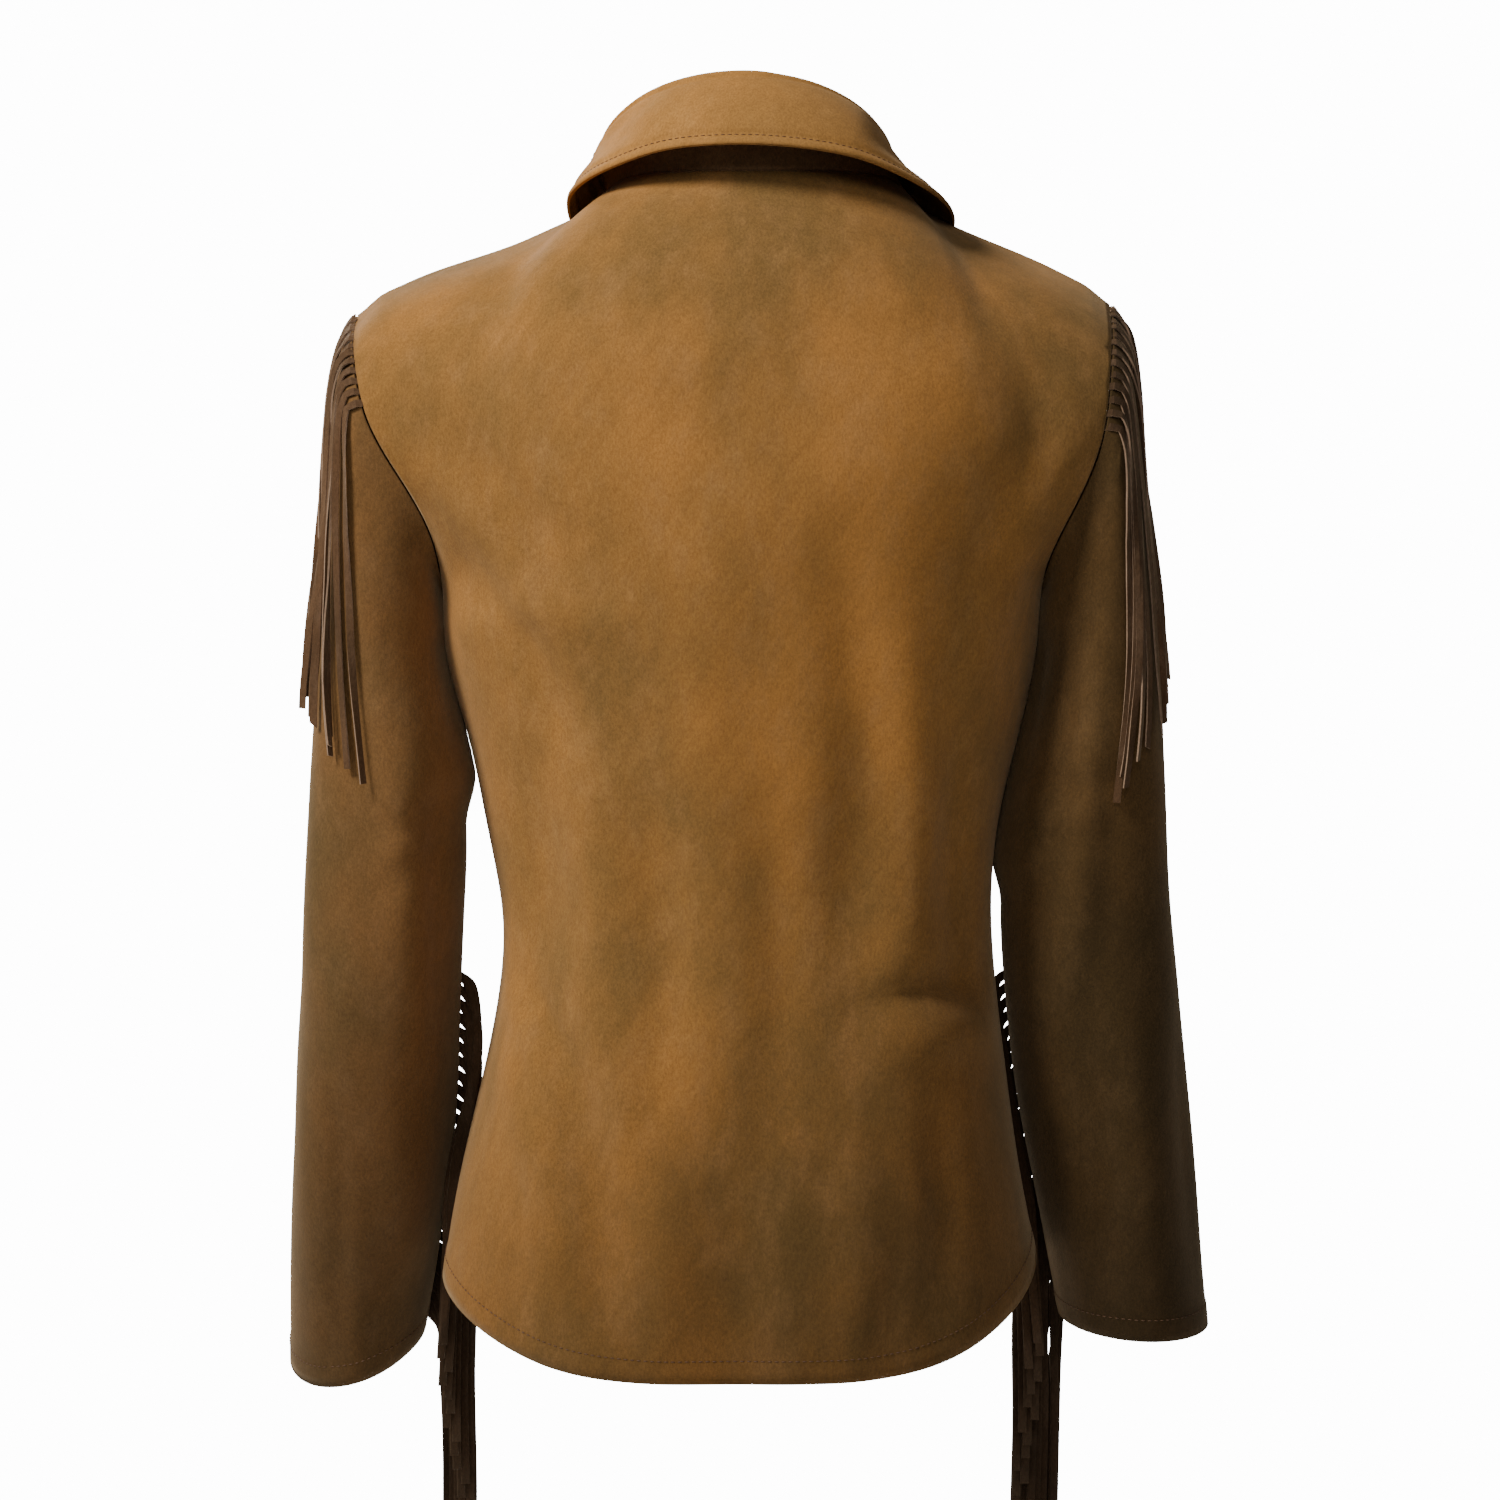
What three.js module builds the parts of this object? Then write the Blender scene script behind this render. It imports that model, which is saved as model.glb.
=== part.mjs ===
import * as THREE from 'three';

// A fringed suede shirt-jacket, filled out as it is worn, with nobody in it. Millimetres, +Z up.
// The back faces -Y and the front +Y; +X is the wearer's right. The origin is at the base of the
// neck, level with the shoulder seams. Each cut piece is a thin wall with its own name.

const WALL = 1.6; // thickness of the suede
const SEAM = 0.3; // how far an edge stays back from its seam line
const CLEAR = 0.5; // air between pieces that lie on each other
const PANEL_COLUMNS = 20; // across the back, and across both fronts together
const SHOULDER_COLUMNS = 4; // of those, the ones along each shoulder seam
const ARMHOLE_STEPS = 10; // rows from armpit to shoulder tip; a sleeve has twice as many columns
const OVERLAP = 0.03; // how far each front passes the centre, as a share of the way across
const SUEDE = { color: 0x9a6a38, roughness: 0.95, metalness: 0 };
const FRINGE = { color: 0x6f4a28, roughness: 0.95, metalness: 0 };
const HORN = { color: 0x3a2415, roughness: 0.4, metalness: 0 };

// Rows of values under named columns.
function table(columns, rows) {
  return rows.map((row) => Object.fromEntries(columns.map((column, k) => [column, row[k]])));
}

// From the hem up to the shoulder tips: where the side seam and then the armhole edge runs on
// each side, and where the middle of the back and of the front lies at that row.
const ARMPIT = 8; // the row where side seam turns into armhole
const TORSO = table(
  ['zLeft', 'xLeft', 'zRight', 'xRight', 'yBackEdge', 'yFrontEdge', 'zBack', 'yBack', 'zFront', 'yFront'],
  [
    [-581, -167, -571, 157, 0, 0, -627, -118, -620, 112],
    [-540, -162, -534, 150, 0, 0, -575, -116, -570, 111],
    [-490, -151, -488, 143, 0, 0, -515, -110, -512, 107],
    [-435, -138, -435, 137, 0, 0, -448, -101, -446, 100],
    [-385, -133, -385, 131, 0, 0, -388, -97, -388, 96],
    [-335, -146, -338, 136, 0, 0, -330, -101, -332, 101],
    [-285, -155, -288, 149, 0, 0, -272, -110, -276, 112],
    [-245, -168, -248, 157, 0, 0, -222, -117, -228, 121],
    [-217, -169, -222, 160, 0, 0, -186, -120, -196, 122],
    [-200, -167.5, -204, 158, -30, 27, -160, -120, -172, 119],
    [-178, -172, -180, 167, -50, 45, -132, -117, -148, 113],
    [-152, -186, -154, 180, -61, 54, -100, -112, -123, 105],
    [-124, -204, -126, 190, -64, 56, -66, -103, -99, 96],
    [-98, -211, -98, 193, -58, 50, -32, -90, -77, 87],
    [-74, -215, -70, 196, -38, 33, -4, -74, -58, 78],
    [-57, -216, -51, 198, 0, 0, 14, -62, -45, 72],
  ],
);
const TIP = TORSO.length - 1;
const BODY_ROUND = 2.25; // 2 is an ellipse in plan; more is squarer
const HEM_TAIL = { reach: 0.42, power: 1.3 }; // how the shirt tail drops from side to middle
const SHOULDER_BLEND = 2.4; // how late a panel turns from body shape to its top edge

// The neck seam and the collar's fold line, round the neck: angle 0 is the middle of the back.
const NECK = { x: 4, halfWidth: 84, y: 5, halfDepth: 67, z: 5, tilt: 29.5, dip: 20.5 };
const FOLD = { x: -3.5, halfWidth: 79, y: 8, halfDepth: 58, z: 30, tilt: 44, dip: 4 };
const LEAF_STEP = 24; // degrees between the rows of the leaf's edge
const LEAF_SHIFT = { x: 6, lean: 0.04 }; // the leaf sits a little to the right and lower there
const LEAF_EDGE = table(
  ['x', 'y', 'z'],
  [
    [0, -86, 25],
    [43, -81, 23],
    [79, -60, 13.5],
    [102, -29, 5],
    [108, 6, -2],
    [99, 45, -22],
    [79, 75, -52],
    [50, 96, -88],
  ],
);
const LEAF_END = LEAF_STEP * (LEAF_EDGE.length - 1);
const STAND_END = 165;
const COLLAR_COLUMNS = 22; // every 15 degrees on the stand, as on the panels' neck edges
const STAND_TOP = { down: 3.2, inward: 1 }; // the stand ends this far under and inside the fold
const LEAF_ROLL = { inward: 2.2, down: 0.5 }; // the leaf starts inside the fold
const LEAF_BULGE = 5;

// Sleeves from the upper arm to the cuff: outer and inner edge, the middle's depth and half
// depth, and the slope of the ring forwards and sideways in degrees.
const SLEEVE_COLUMNS = ['z', 'outer', 'inner', 'y', 'deep', 'forward', 'side'];
const SIDES = {
  left: {
    sign: -1,
    sleeve: table(SLEEVE_COLUMNS, [
      [-245, -237, -175, -2, 64, 2, 0],
      [-285, -239, -164, -2, 63, 4, 0],
      [-330, -242.5, -154, 0, 62, 6, 0],
      [-380, -246, -157, 6, 61, 10, 0],
      [-430, -250, -160, 17, 60, 15, 0],
      [-485, -254, -162, 32, 58, 19, 0],
      [-540, -258, -169, 50, 57, 20, 0],
      [-590, -261.5, -177.5, 68, 56, 20, 7],
      [-631, -263, -183, 81, 56, 20, 14],
    ]),
    fringeTop: -424,
    seam: { top: 0.53, cuff: 0.53 },
    hang: { stagger: 9, drift: 0 },
  },
  right: {
    sign: 1,
    sleeve: table(SLEEVE_COLUMNS, [
      [-245, 223.5, 161.5, -2, 64, 1, 0],
      [-285, 226.5, 154.5, -2, 63, 2, 0],
      [-330, 229.5, 142, 0, 60, 3, 0],
      [-380, 232.5, 135.5, 4, 58, 5, 0],
      [-430, 237, 138.5, 10, 57, 7, 0],
      [-480, 242, 146, 15, 57, 7, 0],
      [-530, 247, 155.5, 20, 57, 7, 0],
      [-575, 251, 164, 24.5, 56, 7, 2],
      [-611, 254.5, 171.5, 28, 56, 7, 3],
    ]),
    fringeTop: -424,
    seam: { top: 0.57, cuff: 0.635 },
    hang: { stagger: 13, drift: 4 },
  },
};
const CAP_ROWS = [0, 0.05, 0.12, 0.22, 0.4, 0.7]; // from the armhole to the upper arm
const CAP_ROLL = { under: 1.5, top: 6.5, reach: 0.14 }; // the sleeve head stands out of its seam
const LOWER_ROWS = 8;

// Fringe: flat strands cut from a strip that is sewn in the seam.
const STRAND = { count: 28, thick: 0.9, length: 210 };
const ARMHOLE_FRINGE = { from: -0.225, to: 0.215, wide: 4.3, top: 0.02, bottom: 0.06 };
const ARMHOLE_MARKS = table(
  ['along', 'proud'], // distance down the strand, and how far it then stands off the sleeve
  [
    [9, 1.6],
    [24, 3.4],
    [70, 3],
    [140, 2.6],
    [210, 3.6],
  ],
);
const SLEEVE_FRINGE = { wide: 4.6, proud: 1.5 };
const SLEEVE_MARKS = table(
  ['inward', 'down', 'turn'], // from the strip's edge; the turn is 0 level and 90 hanging
  [
    [2.5, 2, 40],
    [5, 8, 80],
    [6, 34, 90],
    [6, 72, 90],
    [6, 116, 90],
    [6, 206, 90],
  ],
);
const BODY_AIR = 5; // from the middle of a hanging strand to the body beside it

// Soft folds of the back, pushed in or out of the panel: where they run from and to.
const FOLDS = table(
  ['fromX', 'fromZ', 'toX', 'toZ', 'wide', 'out'],
  [
    [-92, -385, -118, -600, 26, -4],
    [-50, -430, -66, -610, 30, 3.5],
    [42, -350, 30, -590, 30, -4],
    [92, -390, 112, -590, 28, 3.5],
    [-150, -150, -70, -300, 24, -3],
    [145, -150, 90, -300, 24, -3],
  ],
);

const BUTTON = { radius: 7.5, thick: 3, rim: 1.2, lip: 0.6, segments: 12 };
const BUTTON_ROWS = [1, 2.9, 4.8, 6.5, 8.7, 12.2];
const BUTTON_SEAT = 0.35; // air under a button

const radians = THREE.MathUtils.degToRad;
const lerp = THREE.MathUtils.lerp;
const clamp = THREE.MathUtils.clamp;
const at = (x, y, z) => new THREE.Vector3(x, y, z);

// A table's columns at a fractional row, on a curve that never overshoots its rows.
function rowAt(rows, place) {
  const last = rows.length - 1;
  const index = clamp(Math.floor(place), 0, last - 1);
  const t = place - index;
  const row = {};
  for (const column of Object.keys(rows[0])) {
    const rise = (k) => rows[k + 1][column] - rows[k][column];
    const slope = (k) => {
      if (k === 0) return rise(0);
      if (k === last) return rise(last - 1);
      const [before, after] = [rise(k - 1), rise(k)];
      return before * after <= 0 ? 0 : (2 * before * after) / (before + after);
    };
    const start = rows[index][column];
    const end = rows[index + 1][column];
    const [leave, arrive] = [slope(index), slope(index + 1)];
    const bend = 3 * (end - start) - 2 * leave - arrive;
    row[column] = start + t * (leave + t * (bend + t * (leave + arrive - 2 * (end - start))));
  }
  return row;
}

// A closed body from points and four-sided faces, turned so that its faces point outwards.
function bodyOf(points, faces) {
  const index = faces.flatMap(([a, b, c, d]) => [a, b, c, a, c, d]);
  let volume = 0;
  for (let k = 0; k < index.length; k += 3) {
    const [a, b, c] = [points[index[k]], points[index[k + 1]], points[index[k + 2]]];
    volume += a.dot(b.clone().cross(c));
  }
  if (volume < 0) index.reverse();
  const geometry = new THREE.BufferGeometry().setFromPoints(points);
  geometry.setIndex(index);
  geometry.computeVertexNormals();
  return geometry;
}

// The outward direction at each point of a grid of rows.
function normalsOf(grid, ring, outward) {
  const rows = grid.length;
  const columns = grid[0].length;
  const wrap = (k) => (ring ? (k + columns) % columns : clamp(k, 0, columns - 1));
  return grid.map((row, i) => row.map((point, j) => {
    const along = row[wrap(j + 1)].clone().sub(row[wrap(j - 1)]);
    const across = grid[Math.min(i + 1, rows - 1)][j].clone().sub(grid[Math.max(i - 1, 0)][j]);
    return along.cross(across).normalize().multiplyScalar(outward);
  }));
}

// Draws the rim of a grid back from its seam lines.
function insetRim(grid, ring) {
  const moved = grid.map((row) => row.map((point) => point.clone()));
  const pull = (i, j, k, l) => {
    const step = grid[k][l].clone().sub(grid[i][j]).setLength(SEAM);
    moved[i][j].add(step);
  };
  const lastRow = grid.length - 1;
  const lastColumn = grid[0].length - 1;
  grid[0].forEach((_, j) => pull(0, j, 1, j));
  grid[lastRow].forEach((_, j) => pull(lastRow, j, lastRow - 1, j));
  if (!ring) {
    grid.forEach((_, i) => pull(i, 0, i, 1));
    grid.forEach((_, i) => pull(i, lastColumn, i, lastColumn - 1));
  }
  return moved;
}

// A wall whose outer face is the grid and whose inner face lies the cloth's thickness inside.
function wallOf(grid, normals, ring) {
  const rows = grid.length;
  const columns = grid[0].length;
  const outer = grid.flat();
  const inner = outer.map((point, k) => point.clone().addScaledVector(normals.flat()[k], -WALL));
  const under = rows * columns;
  const spot = (i, j) => i * columns + (j % columns);
  const faces = [];
  const spans = ring ? columns : columns - 1;
  for (let i = 0; i < rows - 1; i += 1) {
    for (let j = 0; j < spans; j += 1) {
      const face = [spot(i, j), spot(i, j + 1), spot(i + 1, j + 1), spot(i + 1, j)];
      faces.push(face, face.map((k) => k + under).reverse());
    }
  }
  const rim = (a, b) => faces.push([b, a, a + under, b + under]);
  for (let j = 0; j < spans; j += 1) {
    rim(spot(0, j), spot(0, j + 1));
    rim(spot(rows - 1, j + 1), spot(rows - 1, j));
  }
  if (!ring) {
    for (let i = 0; i < rows - 1; i += 1) {
      rim(spot(i + 1, 0), spot(i, 0));
      rim(spot(i, columns - 1), spot(i + 1, columns - 1));
    }
  }
  return bodyOf([...outer, ...inner], faces);
}

// A point of a ring round the neck; angle 0 is the middle of the back, 90 the right side.
function neckRing(ring, angle) {
  const turn = radians(angle);
  const back = Math.cos(turn);
  return at(
    ring.x + ring.halfWidth * Math.sin(turn),
    ring.y - ring.halfDepth * back,
    ring.z + ring.tilt * back - ring.dip * back * back,
  );
}

// How far a point is round the body, from 0 at the left edge to 1 at the right edge.
function bodyPoint(face, across, place) {
  const row = rowAt(TORSO, place);
  const cosine = Math.cos(Math.PI * across);
  const sine = Math.sin(Math.PI * across);
  const share = (1 - Math.sign(cosine) * Math.abs(cosine) ** (2 / BODY_ROUND)) / 2;
  const even = clamp((place - ARMPIT) / (TIP - ARMPIT), 0, 1);
  const x = lerp(row.xLeft, row.xRight, lerp(share, across, even * even));
  const edgeY = face === 'back' ? row.yBackEdge : row.yFrontEdge;
  const middleY = face === 'back' ? row.yBack : row.yFront;
  const middleZ = face === 'back' ? row.zBack : row.zFront;
  const tail = Math.sin(Math.min(1, Math.min(across, 1 - across) / HEM_TAIL.reach) * Math.PI / 2);
  const edgeZ = lerp(row.zLeft, row.zRight, across);
  return at(
    x,
    lerp(edgeY, middleY, sine ** (2 / BODY_ROUND)),
    lerp(edgeZ, middleZ, tail ** HEM_TAIL.power),
  );
}

// The top edge of a face: shoulder seam, neck seam, shoulder seam.
function topEdge(face, across) {
  const shoulder = SHOULDER_COLUMNS / PANEL_COLUMNS;
  const tips = rowAt(TORSO, TIP);
  const towards = face === 'back' ? 1 : -1;
  if (across < shoulder) {
    return at(tips.xLeft, 0, tips.zLeft).lerp(neckRing(NECK, -90), across / shoulder);
  }
  if (across > 1 - shoulder) {
    return at(tips.xRight, 0, tips.zRight).lerp(neckRing(NECK, 90), (1 - across) / shoulder);
  }
  const round = (across - shoulder) / (1 - 2 * shoulder);
  return neckRing(NECK, -90 + 180 * round * towards);
}

function foldDepth(point) {
  let depth = 0;
  for (const fold of FOLDS) {
    const run = at(fold.toX - fold.fromX, 0, fold.toZ - fold.fromZ);
    const from = at(point.x - fold.fromX, 0, point.z - fold.fromZ);
    const along = from.dot(run) / run.lengthSq();
    const off = from.addScaledVector(run, -along).length();
    const fade = Math.sin(Math.PI * clamp(along, 0, 1));
    depth += fold.out * fade * Math.exp(-((off / fold.wide) ** 2));
  }
  return depth;
}

function panelPoint(face, across, place) {
  const point = bodyPoint(face, across, place);
  const high = clamp((place - ARMPIT) / (TIP - ARMPIT), 0, 1) ** SHOULDER_BLEND;
  const lift = topEdge(face, across).sub(bodyPoint(face, across, TIP));
  point.addScaledVector(lift, high);
  if (face === 'back') point.y -= foldDepth(point) * Math.sin(Math.PI * across);
  return point;
}

// The rows of a panel: the body's own rows, then even steps up the armhole.
function panelRows() {
  const rows = [];
  for (let place = 0; place < ARMPIT; place += 1) rows.push(place);
  for (let step = 0; step <= ARMHOLE_STEPS; step += 1) {
    rows.push(ARMPIT + ((TIP - ARMPIT) * step) / ARMHOLE_STEPS);
  }
  return rows;
}

// Side seams stand straight out and shoulder seams straight up, so that both panels match there.
function panelNormals(face, columns, rows, grid) {
  const normals = normalsOf(grid, false, face === 'back' ? 1 : -1);
  const shoulder = SHOULDER_COLUMNS / PANEL_COLUMNS;
  const tips = rowAt(TORSO, TIP);
  const slopes = [
    at(tips.xLeft, 0, tips.zLeft).sub(neckRing(NECK, -90)),
    neckRing(NECK, 90).sub(at(tips.xRight, 0, tips.zRight)),
  ];
  columns.forEach((across, j) => {
    if (across > shoulder && across < 1 - shoulder) return;
    const slope = across < 0.5 ? slopes[0] : slopes[1];
    const up = slope.clone().cross(at(0, 1, 0)).normalize();
    normals[rows.length - 1][j] = up.z < 0 ? up.negate() : up;
  });
  rows.forEach((place, i) => {
    if (place > ARMPIT) return;
    if (columns[0] === 0) normals[i][0] = at(-1, 0, 0);
    if (columns[columns.length - 1] === 1) normals[i][columns.length - 1] = at(1, 0, 0);
  });
  return normals;
}

// The left front passes under the right one at the centre.
function panel(face, columns, sunkFrom = 2) {
  const rows = panelRows();
  const grid = rows.map((place) => columns.map((across) => panelPoint(face, across, place)));
  const normals = panelNormals(face, columns, rows, grid);
  const rim = insetRim(grid, false);
  rim.forEach((row, i) => row.forEach((point, j) => {
    if (columns[j] > sunkFrom) point.addScaledVector(normals[i][j], -(WALL + 2 * CLEAR));
  }));
  return wallOf(rim, normals, false);
}

// A point of the sleeve: round is 0 outside, 0.25 behind, 0.5 inside, 0.75 in front; place is 0
// at the armhole, 1 at the upper arm and goes on down the sleeve's own rows.
function sleevePoint(side, round, place) {
  const turn = (round - Math.floor(round)) * 2;
  const ringPoint = (index) => {
    const row = rowAt(side.sleeve, index);
    const wide = Math.abs(row.outer - row.inner) / 2;
    const local = at(side.sign * wide * Math.cos(Math.PI * turn), -row.deep * Math.sin(Math.PI * turn), 0);
    local.applyAxisAngle(at(0, 1, 0), side.sign * radians(row.side));
    local.applyAxisAngle(at(1, 0, 0), radians(row.forward));
    return local.add(at((row.outer + row.inner) / 2, row.y, row.z));
  };
  if (place >= 1) return ringPoint(place - 1);
  const up = Math.abs(1 - turn);
  const row = rowAt(TORSO, lerp(ARMPIT, TIP, up));
  const seam = at(
    side.sign < 0 ? row.xLeft : row.xRight,
    turn < 1 ? row.yBackEdge : row.yFrontEdge,
    side.sign < 0 ? row.zLeft : row.zRight,
  );
  seam.x += side.sign * SEAM * 2.5;
  const roll = CAP_ROLL.under + (CAP_ROLL.top * (1 + Math.cos(Math.PI * turn))) / 2;
  const rise = 1 - Math.min(1, place / CAP_ROLL.reach);
  const out = roll * Math.sqrt(1 - rise * rise) * (1 - place);
  const point = seam.lerp(ringPoint(0), place);
  point.x += side.sign * out;
  return point;
}

function sleeveNormal(side, round, place) {
  const step = 0.004;
  const along = sleevePoint(side, round + step, place).sub(sleevePoint(side, round - step, place));
  const lower = sleevePoint(side, round, place + step);
  const across = lower.sub(sleevePoint(side, round, Math.max(place - step, 0)));
  return along.cross(across).normalize().multiplyScalar(side.sign);
}

function sleeve(side) {
  const rows = [...CAP_ROWS];
  for (let k = 0; k <= LOWER_ROWS; k += 1) rows.push(1 + k);
  const columns = Array.from({ length: 2 * ARMHOLE_STEPS }, (_, k) => k / (2 * ARMHOLE_STEPS));
  const grid = rows.map((place) => columns.map((round) => sleevePoint(side, round, place)));
  return wallOf(grid, normalsOf(grid, true, side.sign), true);
}

// A strip with strands that go on from its free edge. Each ring is four corners of the strip:
// sewn edge, free edge, free edge, sewn edge; rings 2k and 2k+1 bound strand k.
function comb(rings, strands) {
  const points = rings.flat();
  const faces = [];
  const ringSides = [[0, 1], [2, 3], [3, 0]];
  for (let k = 0; k < rings.length - 1; k += 1) {
    const [a, b] = [4 * k, 4 * (k + 1)];
    for (const [p, q] of ringSides) faces.push([a + p, a + q, b + q, b + p]);
    if (k % 2 === 1) faces.push([a + 1, a + 2, b + 2, b + 1]);
  }
  const end = points.length - 4;
  faces.push([3, 2, 1, 0], [end, end + 1, end + 2, end + 3]);
  strands.forEach((sections, k) => {
    let from = [8 * k + 1, 8 * k + 5, 8 * k + 6, 8 * k + 2];
    for (const section of sections) {
      const start = points.length;
      points.push(...section);
      const to = section.map((_, corner) => start + corner);
      for (let c = 0; c < 4; c += 1) {
        const d = (c + 1) % 4;
        faces.push([from[c], to[c], to[d], from[d]]);
      }
      from = to;
    }
    faces.push([...from].reverse());
  });
  return bodyOf(points, faces);
}

// Four corners round a strand's middle, from its half width and half thickness vectors.
function section(middle, half, thick) {
  const corner = (a, b) => middle.clone().addScaledVector(half, a).addScaledVector(thick, b);
  return [corner(1, 1), corner(-1, 1), corner(-1, -1), corner(1, -1)];
}

// Over the shoulder: the strip lies on the sleeve head and the strands fall round the sleeve.
function armholeFringe(side) {
  const { from, to, wide, top, bottom } = ARMHOLE_FRINGE;
  const outside = (round, place, proud) => sleevePoint(side, round, place)
    .addScaledVector(sleeveNormal(side, round, place), proud);
  const rings = [];
  const strands = [];
  for (let k = 0; k < STRAND.count; k += 1) {
    const round = lerp(from, to, k / (STRAND.count - 1));
    const arc = (place) => sleevePoint(side, round + 0.005, place)
      .distanceTo(sleevePoint(side, round - 0.005, place)) / 0.01;
    const half = wide / arc(top) / 2;
    for (const edge of [round - half, round + half]) {
      rings.push([
        outside(edge, top, CLEAR + STRAND.thick),
        outside(edge, bottom, CLEAR + STRAND.thick),
        outside(edge, bottom, CLEAR),
        outside(edge, top, CLEAR),
      ]);
    }
    let place = bottom;
    let run = 0;
    const sections = ARMHOLE_MARKS.map((mark) => {
      while (run < mark.along) {
        const next = place + 0.01;
        run += sleevePoint(side, round, place).distanceTo(sleevePoint(side, round, next));
        place = next;
      }
      const normal = sleeveNormal(side, round, place);
      const tangent = sleevePoint(side, round - 0.005, place).sub(sleevePoint(side, round + 0.005, place));
      const middle = outside(round, place, CLEAR + mark.proud);
      return section(middle, tangent.setLength(wide / 2), normal.multiplyScalar(STRAND.thick / 2));
    });
    strands.push(sections);
  }
  return comb(rings, strands);
}

// The side of the body at a depth and height, for what hangs beside it.
function bodySide(side, y, z) {
  const edge = side.sign < 0 ? 'Left' : 'Right';
  let place = 0;
  while (place < ARMPIT && rowAt(TORSO, place)[`z${edge}`] < z) place += 0.1;
  const row = rowAt(TORSO, place);
  const middle = (row.xLeft + row.xRight) / 2;
  const share = clamp(Math.abs(y / (y < 0 ? row.yBack : row.yFront)), 0, 1);
  return middle + (row[`x${edge}`] - middle) * (1 - share ** BODY_ROUND) ** (1 / BODY_ROUND);
}

// A sleeve row's fractional place at a height of its middle.
function placeAtHeight(side, z) {
  let place = 1;
  while (rowAt(side.sleeve, place - 1).z > z) place += 0.005;
  return place;
}

// Down the inner sleeve: the strip stands out of the seam and its strands turn down and hang.
function sleeveFringe(side) {
  const start = placeAtHeight(side, side.fringeTop);
  const end = 1 + LOWER_ROWS - 0.08;
  const rings = [];
  const strands = [];
  const pitch = (end - start) / (STRAND.count - 1);
  const seamAt = (place) => lerp(side.seam.top, side.seam.cuff, (place - start) / (end - start));
  const cut = (pitch * SLEEVE_FRINGE.wide) / 6;
  for (let k = 0; k < STRAND.count; k += 1) {
    const place = start + pitch * k;
    for (const edge of [place - cut / 2, place + cut / 2]) {
      const round = seamAt(edge);
      const seam = sleevePoint(side, round, edge);
      const out = sleeveNormal(side, round, edge);
      const front = at(0, STRAND.thick / 2, 0);
      const root = seam.clone().addScaledVector(out, CLEAR);
      const tip = seam.clone().addScaledVector(out, CLEAR + SLEEVE_FRINGE.proud);
      rings.push([root.clone().sub(front), tip.clone().sub(front), tip.clone().add(front), root.clone().add(front)]);
    }
    const [upper, lower] = rings.slice(-2);
    const rootMiddle = upper[1].clone().add(upper[2]).add(lower[1]).add(lower[2]).multiplyScalar(0.25);
    const stagger = side.hang.stagger * (0.5 + 0.5 * Math.sin(k * 2.4));
    const sections = SLEEVE_MARKS.map((mark) => {
      const fallen = mark.down / STRAND.length;
      const spread = (k / (STRAND.count - 1)) * side.hang.drift * fallen;
      const z = rootMiddle.z - mark.down;
      const y = rootMiddle.y + spread;
      const free = Math.abs(rootMiddle.x) - mark.inward - stagger * Math.min(1, fallen * 3);
      const held = Math.abs(bodySide(side, y, z)) + BODY_AIR;
      const x = side.sign * Math.max(free, held + stagger * Math.min(1, fallen * 2) * 0.5);
      const turn = radians(mark.turn);
      const half = at(-side.sign * Math.sin(turn), 0, Math.cos(turn)).multiplyScalar(SLEEVE_FRINGE.wide / 2);
      return section(at(x, y, z), half, at(0, -STRAND.thick / 2, 0));
    });
    strands.push(sections);
  }
  return comb(rings, strands);
}

function collarStand() {
  const top = { ...FOLD, z: FOLD.z - STAND_TOP.down };
  top.halfWidth -= STAND_TOP.inward;
  top.halfDepth -= STAND_TOP.inward;
  const grid = [0, 0.5, 1].map((up) => Array.from({ length: COLLAR_COLUMNS + 1 }, (_, k) => {
    const angle = lerp(-STAND_END, STAND_END, k / COLLAR_COLUMNS);
    return neckRing(NECK, angle).lerp(neckRing(top, angle), up);
  }));
  return wallOf(insetRim(grid, false), normalsOf(grid, false, 1), false);
}

function leafPoint(angle, down) {
  const fold = neckRing(FOLD, angle);
  const away = at(Math.sin(radians(angle)), -Math.cos(radians(angle)), 0);
  if (down < 0) return fold.addScaledVector(away, -LEAF_ROLL.inward).add(at(0, 0, -LEAF_ROLL.down));
  const row = rowAt(LEAF_EDGE, Math.abs(angle) / LEAF_STEP);
  const x = Math.sign(angle) * row.x;
  const edge = at(x + LEAF_SHIFT.x, row.y, row.z - LEAF_SHIFT.lean * x);
  const bulge = LEAF_BULGE * Math.sin(Math.PI * down);
  return fold.lerp(edge, down).addScaledVector(away, bulge).add(at(0, 0, bulge / 3));
}

function collarLeaf() {
  const rows = [-1, 0, 0.2, 0.45, 0.72, 1];
  const grid = rows.map((down) => Array.from({ length: COLLAR_COLUMNS + 1 }, (_, k) => (
    leafPoint(lerp(-LEAF_END, LEAF_END, k / COLLAR_COLUMNS), down)
  )));
  return wallOf(grid, normalsOf(grid, false, -1), false);
}

// A round button with a raised rim.
function button() {
  const { radius, thick, rim, lip, segments } = BUTTON;
  const profile = [[0, 0], [radius, 0], [radius, thick], [radius - rim, thick], [radius - 2 * rim, thick - lip]];
  const outline = [...profile, [0, thick - lip]].map(([r, h]) => new THREE.Vector2(r, h));
  return new THREE.LatheGeometry(outline, segments);
}

function part(name, geometry, finish) {
  const mesh = new THREE.Mesh(geometry, new THREE.MeshStandardMaterial(finish));
  mesh.name = name;
  return mesh;
}

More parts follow.
